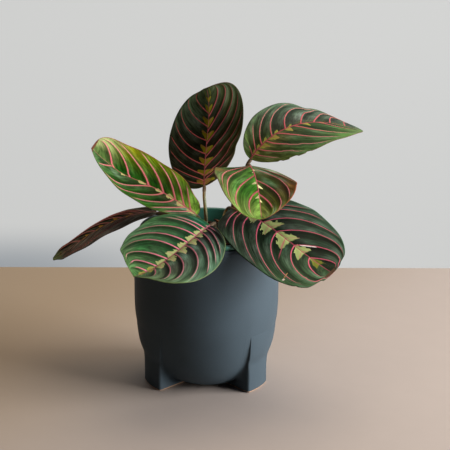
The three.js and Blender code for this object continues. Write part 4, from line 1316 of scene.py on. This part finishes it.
def bowl_profile():
    """Radius and height round the bowl's wall.

    It runs out along the base, up the outside, over a rim that is a flattened half circle, down the
    inside, which is the outside less the wall, and in along the floor.
    """
    base, top, wall = BOWL["base_height"], BOWL["height"], BOWL["wall"]
    rounding = BOWL["rim_round"]
    heights = base + (top - rounding - base) * np.linspace(0, 1, 90) ** 1.5
    outside = np.stack([bowl_radius(heights), heights], 1)
    over = np.linspace(0, math.pi, 13)
    middle = BOWL["rim_radius"] - wall / 2
    rim = np.stack([
        middle + wall / 2 * np.sign(np.cos(over)) * np.abs(np.cos(over)) ** 0.6,
        top - rounding + rounding * np.sin(over) ** 0.6,
    ], 1)
    floor = base + BOWL["floor"]
    downward = heights[::-1]
    inner_heights = downward[downward > floor + 2]
    inside = np.stack([bowl_radius(inner_heights) - wall, inner_heights], 1)
    return np.concatenate([
        [[POLE_RADIUS, base], [BOWL["base_radius"] * 0.6, base]], outside, rim, inside,
        [[float(bowl_radius(floor)) - wall - 6, floor], [POLE_RADIUS, floor]],
    ])


def foot_skin(angle, rounding):
    """One foot: a wedge of a ring that stands out of the bowl and sinks into it at the top.

    The outer radius is the smooth maximum of the foot's own and the bowl's plus the proud height.
    Half the section runs along the outer face, round a quarter circle, straight in along the
    flank, and out over a quarter ellipse that meets the bowl at a tangent. The other half mirrors
    it. Near the sole the section is drawn in by a quarter circle.
    """
    low = np.linspace(0, math.pi / 2, 7)
    climb = np.linspace(3, FEET["top"], 38)
    sole_round = rounding * 0.6
    heights = np.concatenate([sole_round * (1 - np.cos(low)), climb])[:, None]
    inset = np.concatenate([sole_round * (1 - np.sin(low)), 0 * climb])[:, None]
    bowl = bowl_radius(heights)
    proud = FEET["proud"] * (1 - smooth(*FEET["fades"], heights))
    proud = proud - FEET["sunk"] * smooth(*FEET["sinks"], heights)
    gap = (FEET["outer"] - bowl - proud) / 2
    outer = (FEET["outer"] + bowl + proud) / 2 + np.sqrt(gap ** 2 + 0.25) - inset
    above = smooth(*FEET["joins"], heights)
    base = FEET["inner"] + (bowl - FEET["inner"]) * above + inset
    depth = np.maximum(outer - base, 0)
    base = base + np.minimum(outer - base, 0)
    corner = np.minimum(rounding, 0.3 * depth)
    rise = np.minimum(FEET["fillet"], 0.55 * (depth - corner)) * above
    reach = FEET["fillet"] * smooth(*FEET["hollows"], heights) / base
    up = smooth(*FEET["flares"], heights)
    half = np.radians(FEET["spread"] / 2 + FEET["flare"] * up) - inset / outer
    straight, quarter = np.linspace(0, 1, 8), np.linspace(0, math.pi / 2, 9)[1:]
    inside = base - 2.5 * above
    turn = np.concatenate([
        (half - corner / outer) * straight, half - corner / outer * (1 - np.sin(quarter)),
        half + 0 * straight[1:], half + reach * (1 - np.cos(quarter)),
        half + reach + above * 1.5 / base, half + reach, half / 2, 0 * half,
    ], 1)
    radius = np.concatenate([
        outer + 0 * straight, outer - corner * (1 - np.cos(quarter)),
        outer - corner - (depth - corner - rise) * straight[1:], base + rise * (1 - np.sin(quarter)),
        base - 0.25 * above, inside, inside, inside,
    ], 1)
    turn = np.concatenate([turn, -turn[:, -2:0:-1]], 1)
    radius = np.concatenate([radius, radius[:, -2:0:-1]], 1)
    where = np.radians(angle - 90 + FEET["twist"] * up) + turn
    return skin(np.stack([radius * np.cos(where), radius * np.sin(where), heights + 0 * turn], -1))


class PRAYERPLANT_OT_growing_pot(Operator):
    """Adds the plastic growing pot that hangs in the cover pot"""

    bl_idname = "prayerplant.growing_pot"
    bl_label = "Add Growing Pot"

    def execute(self, context):
        settings = context.scene.prayer_plant_pot
        sizes = GROWING_POT
        seat, wall, bottom = sizes["seat"], sizes["wall"], sizes["bottom"]
        lip, top = sizes["lip_radius"], sizes["lip_top"]
        corners_and_rounding = [
            (POLE_RADIUS, bottom, 0), (sizes["foot_radius"], bottom, 2),
            (wall_radius(seat - 1), seat - 0.3, 0.3), (lip, seat + 0.05, 0.5), (lip, top, 1.2),
            (wall_radius(seat) - wall + 0.3, top, 1.2), (wall_radius(seat) - wall, top - 4, 1.2),
            (wall_radius(bottom) - wall, bottom + wall, 2), (POLE_RADIUS, bottom + wall, 0),
        ]
        radii, heights, rounding = zip(*corners_and_rounding)
        profile = rounded_profile(list(zip(radii, heights)), rounding)
        make_piece(
            "growing_pot", skin(turned_profile(profile, POT_SIDES)), [plastic_material(settings)],
            ["nursery_pot"])
        return {"FINISHED"}


def wall_radius(z):
    """Outside radius of the growing pot's wall, a straight line from its foot to its mouth."""
    sizes = GROWING_POT
    share = (z - sizes["bottom"]) / (BOWL["height"] - sizes["bottom"])
    return sizes["foot_radius"] + (sizes["mouth_radius"] - sizes["foot_radius"]) * share


class PRAYERPLANT_OT_soil(Operator):
    """Adds the potting mix and the loose bits on it"""

    bl_idname = "prayerplant.soil"
    bl_label = "Add Potting Mix"

    def execute(self, context):
        settings = context.scene.prayer_plant_soil
        make_piece(
            "potting_mix", soil_skin(settings.roughness_height * 1000), [soil_material(settings)],
            ["soil"])
        materials = [
            crumb_material("bark_bits", rgb(58, 36, 24), rgb(112, 72, 44), 500),
            crumb_material("perlite_bits", rgb(168, 160, 148), rgb(214, 210, 200), 900),
        ]
        make_piece("loose_bits", bits_skin(settings.bits), materials)
        return {"FINISHED"}


def soil_radius():
    """Radius of the soil's top, a little inside the growing pot's wall."""
    return wall_radius(SOIL_TOP) - GROWING_POT["wall"] - SOIL_GAP


def soil_height(x, y):
    """Height of the soil's crown, without its crumbs: it falls off as the square of the radius."""
    return SOIL_TOP + SOIL_CROWN * (1 - (x ** 2 + y ** 2) / soil_radius() ** 2)


def soil_skin(roughness):
    """A crumbly disc over a plain plug: height is the crown plus three octaves of value noise."""
    inner = soil_radius()
    bottom = GROWING_POT["bottom"] + GROWING_POT["wall"] + SOIL_GAP
    angle = np.arange(SOIL_SIDES) * 2 * math.pi / SOIL_SIDES
    disc = inner * np.linspace(1, 0.01, 84) ** 0.85
    radius = np.concatenate([[wall_radius(bottom) - 3], disc])
    x, y = radius[:, None] * np.cos(angle), radius[:, None] * np.sin(angle)
    place = np.stack([x, y, 0 * x], -1)
    crumbs = sum(
        value_noise(place * scale, seed) * height
        for scale, seed, height in ((0.13, 3, 0.8), (0.34, 7, 0.55), (0.8, 11, 0.3))
    )
    z = soil_height(x, y) + crumbs * roughness * smooth(1.0, 0.9, radius / inner)[:, None]
    z[0] = bottom
    return skin(np.stack([x, y, z], -1))


def bits_skin(count):
    """Small lumps strewn on the soil, four in five of them bark slivers and the rest perlite.

    A lump is a rough ball: rings of the polar angle, drawn out along its length and flattened, its
    radius varied by chance, tipped and turned about the vertical, and set on the soil's crown.
    """
    chance = np.random.default_rng(5)
    clear_of_wall = 5
    radius = (wall_radius(SOIL_TOP) - clear_of_wall) * np.sqrt(chance.random(count))
    angle = chance.random(count) * 2 * math.pi
    x, y = radius * np.cos(angle), radius * np.sin(angle)
    bark = chance.random(count) < 0.8
    size = np.where(bark, 1.0 + 1.6 * chance.random(count), 0.7 + 1.0 * chance.random(count))
    length = np.where(bark, 1.5 + 2.5 * chance.random(count), 1.1)
    turn = chance.random(count) * 2 * math.pi
    tip = (chance.random(count) - 0.5) * 0.9
    rings, sides = 6, 7
    polar = np.linspace(0.25, math.pi - 0.25, rings)[None, :, None]
    round_angle = (np.arange(sides) * 2 * math.pi / sides)[None, None, :]
    lump = 1 + 0.28 * (chance.random((count, rings, sides)) - 0.5)
    along = -np.cos(polar) * (size * length)[:, None, None] * lump
    aside = np.sin(polar) * np.cos(round_angle) * size[:, None, None] * lump
    above = np.sin(polar) * np.sin(round_angle) * (size * 0.6)[:, None, None] * lump
    lift = along * np.sin(tip)[:, None, None] + above
    level = along * np.cos(tip)[:, None, None]
    cos, sin = np.cos(turn)[:, None, None], np.sin(turn)[:, None, None]
    points = np.stack([
        x[:, None, None] + level * cos - aside * sin,
        y[:, None, None] + level * sin + aside * cos,
        (soil_height(x, y) + 0.3)[:, None, None] + lift,
    ], -1)
    return joined([skin(lump, np.full(sides, kind)) for lump, kind in zip(points, 1 - bark)])


class PRAYERPLANT_OT_shoot(Operator):
    """Adds the right-hand shoot that carries two of the leaves"""

    bl_idname = "prayerplant.shoot"
    bl_label = "Add Shoot"

    def execute(self, context):
        settings = context.scene.prayer_plant_leaves
        radius = shoot_radius(np.linspace(0, 1, SHOOT_STEPS))
        rings = tube_rings(shoot_path(SHOOT_STEPS), radius, SHOOT_SIDES)
        make_piece("shoot", skin(rings), [shoot_material(settings)], ["shoot_stem"])
        return {"FINISHED"}


def shoot_radius(u):
    """The shoot's radius at a share u of its length.

    It narrows evenly by 0.5 mm over the first 0.7 and swells by 2 mm to hold the two sockets. It
    draws in by a quarter at its very end, and a bell at 0.62 makes a joint.
    """
    radius = 3.4 - 0.5 * np.minimum(u / 0.7, 1) + 2.0 * smooth(0.7, 0.92, u)
    radius = radius * (1 - 0.25 * smooth(0.97, 1.0, u))
    return radius + 0.25 * np.exp(-((u - 0.62) / 0.02) ** 2)


class PRAYERPLANT_OT_sheaths(Operator):
    """Adds the dry brown sheaths at the feet of the stalks"""

    bl_idname = "prayerplant.sheaths"
    bl_label = "Add Dry Sheaths"

    def execute(self, context):
        settings = context.scene.prayer_plant_leaves
        parts = [sheath_skin(*sheath, seed=i) for i, sheath in enumerate(SHEATHS)]
        make_piece("dry_sheaths", joined(parts), [sheath_material(settings)])
        return {"FINISHED"}


def sheath_skin(foot, lean, height, radius, facing, wrap, seed):
    """A pointed strip of a leaning cone: its half angle is the wrap times the root of 1 - u^1.5.

    Each ring runs along the outside and back along the inside, half a millimetre in. The radius
    swells by a half sine of u, and value noise makes the edges wavy.
    """
    u = np.linspace(0, 1, 26)[:, None]
    across = np.linspace(-1, 1, 13)
    half = np.radians(wrap / 2) * np.sqrt(np.maximum(1 - u ** 1.5, 0.004))
    zeros = 0 * u * across
    wave = value_noise(np.stack([u * 5 + zeros, across * 1.5 + zeros, zeros + seed], -1), 9)
    turn = math.radians(facing) + half * across
    swollen = radius * (1 - 0.25 * u) + 0.9 * np.sin(math.pi * u) * 0.5 + wave * 0.5 + 1.2 * u ** 3
    x = foot[0] + lean[0] * height * u
    y = foot[1] + lean[1] * height * u
    z = SOIL_TOP - 1 + height * u + zeros
    outside, inside = (
        np.stack([x + (swollen - thin) * np.cos(turn), y + (swollen - thin) * np.sin(turn), z], -1)
        for thin in (0, 0.5)
    )
    return skin(np.concatenate([outside, inside[:, ::-1]], 1))


class PRAYERPLANT_OT_leaves(Operator):
    """Adds the seven leaves, each with its petiole"""

    bl_idname = "prayerplant.leaves"
    bl_label = "Add Leaves"

    def execute(self, context):
        settings = context.scene.prayer_plant_leaves
        back = leaf_back_material(settings)
        stalk = petiole_material(settings)
        for name, leaf in LEAVES.items():
            look = LOOKS[name]
            blade = blade_skin(leaf, look, settings.thickness * 1000, settings.quilting)
            face = leaf_face_material(name + "_face", look, settings)
            whole = joined([blade, petiole_skin(leaf)])
            make_piece(name, whole, [face, back, stalk], [leaf["node"]])
        return {"FINISHED"}


class PRAYERPLANT_OT_stage(Operator):
    """Adds the floor, the backdrop, the lights and the camera"""

    bl_idname = "prayerplant.stage"
    bl_label = "Add Stage"

    def execute(self, context):
        settings = context.scene.prayer_plant_stage
        stage_plane(
            "floor", (FLOOR["left"], FLOOR["front"], 0), (FLOOR["width"], 0, 0),
            (0, FLOOR["back"] - FLOOR["front"], 0), floor_material(settings))
        stage_plane(
            "backdrop", (BACKDROP["left"], BACKDROP["at"], BACKDROP["bottom"]),
            (BACKDROP["width"], 0, 0), (0, 0, BACKDROP["height"]), backdrop_material(settings))
        area_light("key_light", settings.key_power, **KEY_LIGHT)
        area_light("top_light", settings.top_power, **TOP_LIGHT)
        world = bpy.data.worlds.new("studio")
        world.use_nodes = True
        background = world.node_tree.nodes["Background"]
        background.inputs["Color"].default_value = (*WORLD_TINT, 1)
        background.inputs["Strength"].default_value = WORLD_STRENGTH
        context.scene.world = world
        context.scene.view_settings.view_transform = "Standard"
        add_camera()
        return {"FINISHED"}


def floor_material(settings):
    """Plain pale floor, with painted shade that makes it darker and browner towards the far left."""
    graph = Graph("pale_floor")
    grain = graph.noise(graph.place(), 40, 3.0)
    base = tuple(settings.floor_colour)
    colour = graph.mix(grain.rise(0.3, 0.7) * 0.2, base, shaded(base, 0.93))
    x, y, _ = graph.parts(graph.place())
    # Painted shade: the floor is made darker and browner towards the far left, on top of the shadow that
    # the lights cast.
    left = (x - y * 0.7).rise(0.1, -0.35)
    return graph.finish(graph.mix(left, colour, tuple(settings.floor_shade_colour)), 0.7)


def backdrop_material(settings):
    """Plain wall that glows by itself, with a painted shadow low on its left."""
    graph = Graph("pale_wall", Emission_Strength=1.0)
    glow = shaded(settings.wall_colour, 0.86)
    x, _, z = graph.parts(graph.place())
    # Painted shadow: the wall's glow is dimmed and cooled low on its left.
    shade = z.rise(-0.46, -0.585) * x.rise(0.15, -0.5)
    painted_shadow = tuple(part * share for part, share in zip(glow, BACKDROP["painted_shadow"]))
    graph.put(graph.shader.inputs["Emission Color"], graph.mix(shade, glow, painted_shadow))
    return graph.finish(shaded(settings.wall_colour, 0.25), 0.9)


def stage_plane(name, corner, side, depth, material):
    """A flat sheet: corner + a side + b depth, with a and b from 0 to 1."""
    corner, side, depth = (np.array(vector, float) for vector in (corner, side, depth))
    points = np.stack([corner, corner + side, corner + side + depth, corner + depth])
    mesh = bpy.data.meshes.new(name)
    mesh.from_pydata(points, [], [(0, 1, 2, 3)])
    mesh.materials.append(material)
    sheet = bpy.data.objects.new(name, mesh)
    bpy.context.scene.collection.objects.link(sheet)


def put_in_scene(piece, right, up, back, place):
    """Links an object, turned so that its x, y and z run right, up and back, at a place."""
    turn = np.stack([right, up, back, place], 1)
    piece.matrix_world = Matrix([*turn.tolist(), (0, 0, 0, 1)])
    bpy.context.scene.collection.objects.link(piece)


def area_light(name, power, place, target, size, tint=(1, 1, 1)):
    """A square soft light at place that shines at target."""
    light = bpy.data.lights.new(name, "AREA")
    light.color = tint
    light.size = size
    light.energy = power
    back = unit(np.array(place, float) - np.array(target, float))
    right = unit(np.cross([0, 0, 1.0], back))
    put_in_scene(bpy.data.objects.new(name, light), right, np.cross(back, right), back, place)


def add_camera():
    """The photograph's camera, in front of the pot's axis, turned by its yaw, pitch and roll."""
    yaw, pitch, roll = (math.radians(CAMERA[angle]) for angle in ("yaw", "pitch", "roll"))
    forward = np.array([
        math.sin(yaw) * math.cos(pitch), math.cos(yaw) * math.cos(pitch), -math.sin(pitch),
    ])
    level = np.array([math.cos(yaw), -math.sin(yaw), 0])
    upright = np.cross(level, forward)
    right = level * math.cos(roll) + upright * math.sin(roll)
    up = np.cross(right, forward)
    camera = bpy.data.objects.new("camera", bpy.data.cameras.new("camera"))
    camera.data.sensor_width = SENSOR_WIDTH
    camera.data.lens = SENSOR_WIDTH * CAMERA["focal"] / PHOTO_WIDTH
    camera.data.clip_end = 20
    place = (POT_AXIS.x, POT_AXIS.y - CAMERA["away"], CAMERA["height"])
    put_in_scene(camera, right, up, -forward, place)
    bpy.context.scene.camera = camera


class PRAYERPLANT_PT_panel(Panel):
    """Lists the pieces of the plant and their settings"""

    bl_idname = "PRAYERPLANT_PT_panel"
    bl_label = "Potted Prayer Plant"
    bl_space_type = "VIEW_3D"
    bl_region_type = "UI"
    bl_category = "Prayer Plant"

    def draw(self, context):
        """A button for each operator, then a box for each group of settings."""
        for operator in OPERATORS:
            self.layout.operator(operator.bl_idname)
        for label in SETTINGS:
            box = self.layout.box()
            group = getattr(context.scene, label)
            for name in group.__annotations__:
                box.prop(group, name)


SETTINGS = {
    "prayer_plant_pot": PrayerPlantPotSettings,
    "prayer_plant_soil": PrayerPlantSoilSettings,
    "prayer_plant_leaves": PrayerPlantLeafSettings,
    "prayer_plant_stage": PrayerPlantStageSettings,
}
OPERATORS = (
    PRAYERPLANT_OT_cover_pot,
    PRAYERPLANT_OT_growing_pot,
    PRAYERPLANT_OT_soil,
    PRAYERPLANT_OT_shoot,
    PRAYERPLANT_OT_sheaths,
    PRAYERPLANT_OT_leaves,
    PRAYERPLANT_OT_stage,
)


def register():
    """Registers the settings, the operators and the panel."""
    for group in SETTINGS.values():
        bpy.utils.register_class(group)
    for label, group in SETTINGS.items():
        setattr(bpy.types.Scene, label, PointerProperty(type=group))
    for operator in OPERATORS:
        bpy.utils.register_class(operator)
    bpy.utils.register_class(PRAYERPLANT_PT_panel)


def unregister():
    """Takes out what register() put in, in the opposite order."""
    bpy.utils.unregister_class(PRAYERPLANT_PT_panel)
    for operator in reversed(OPERATORS):
        bpy.utils.unregister_class(operator)
    for label in SETTINGS:
        delattr(bpy.types.Scene, label)
    for group in reversed(SETTINGS.values()):
        bpy.utils.unregister_class(group)


def main():
    """Builds the plant and its stage."""
    register()
    bpy.ops.prayerplant.cover_pot()
    bpy.ops.prayerplant.growing_pot()
    bpy.ops.prayerplant.soil()
    bpy.ops.prayerplant.shoot()
    bpy.ops.prayerplant.sheaths()
    bpy.ops.prayerplant.leaves()
    bpy.ops.prayerplant.stage()


if __name__ == "__main__":
    main()
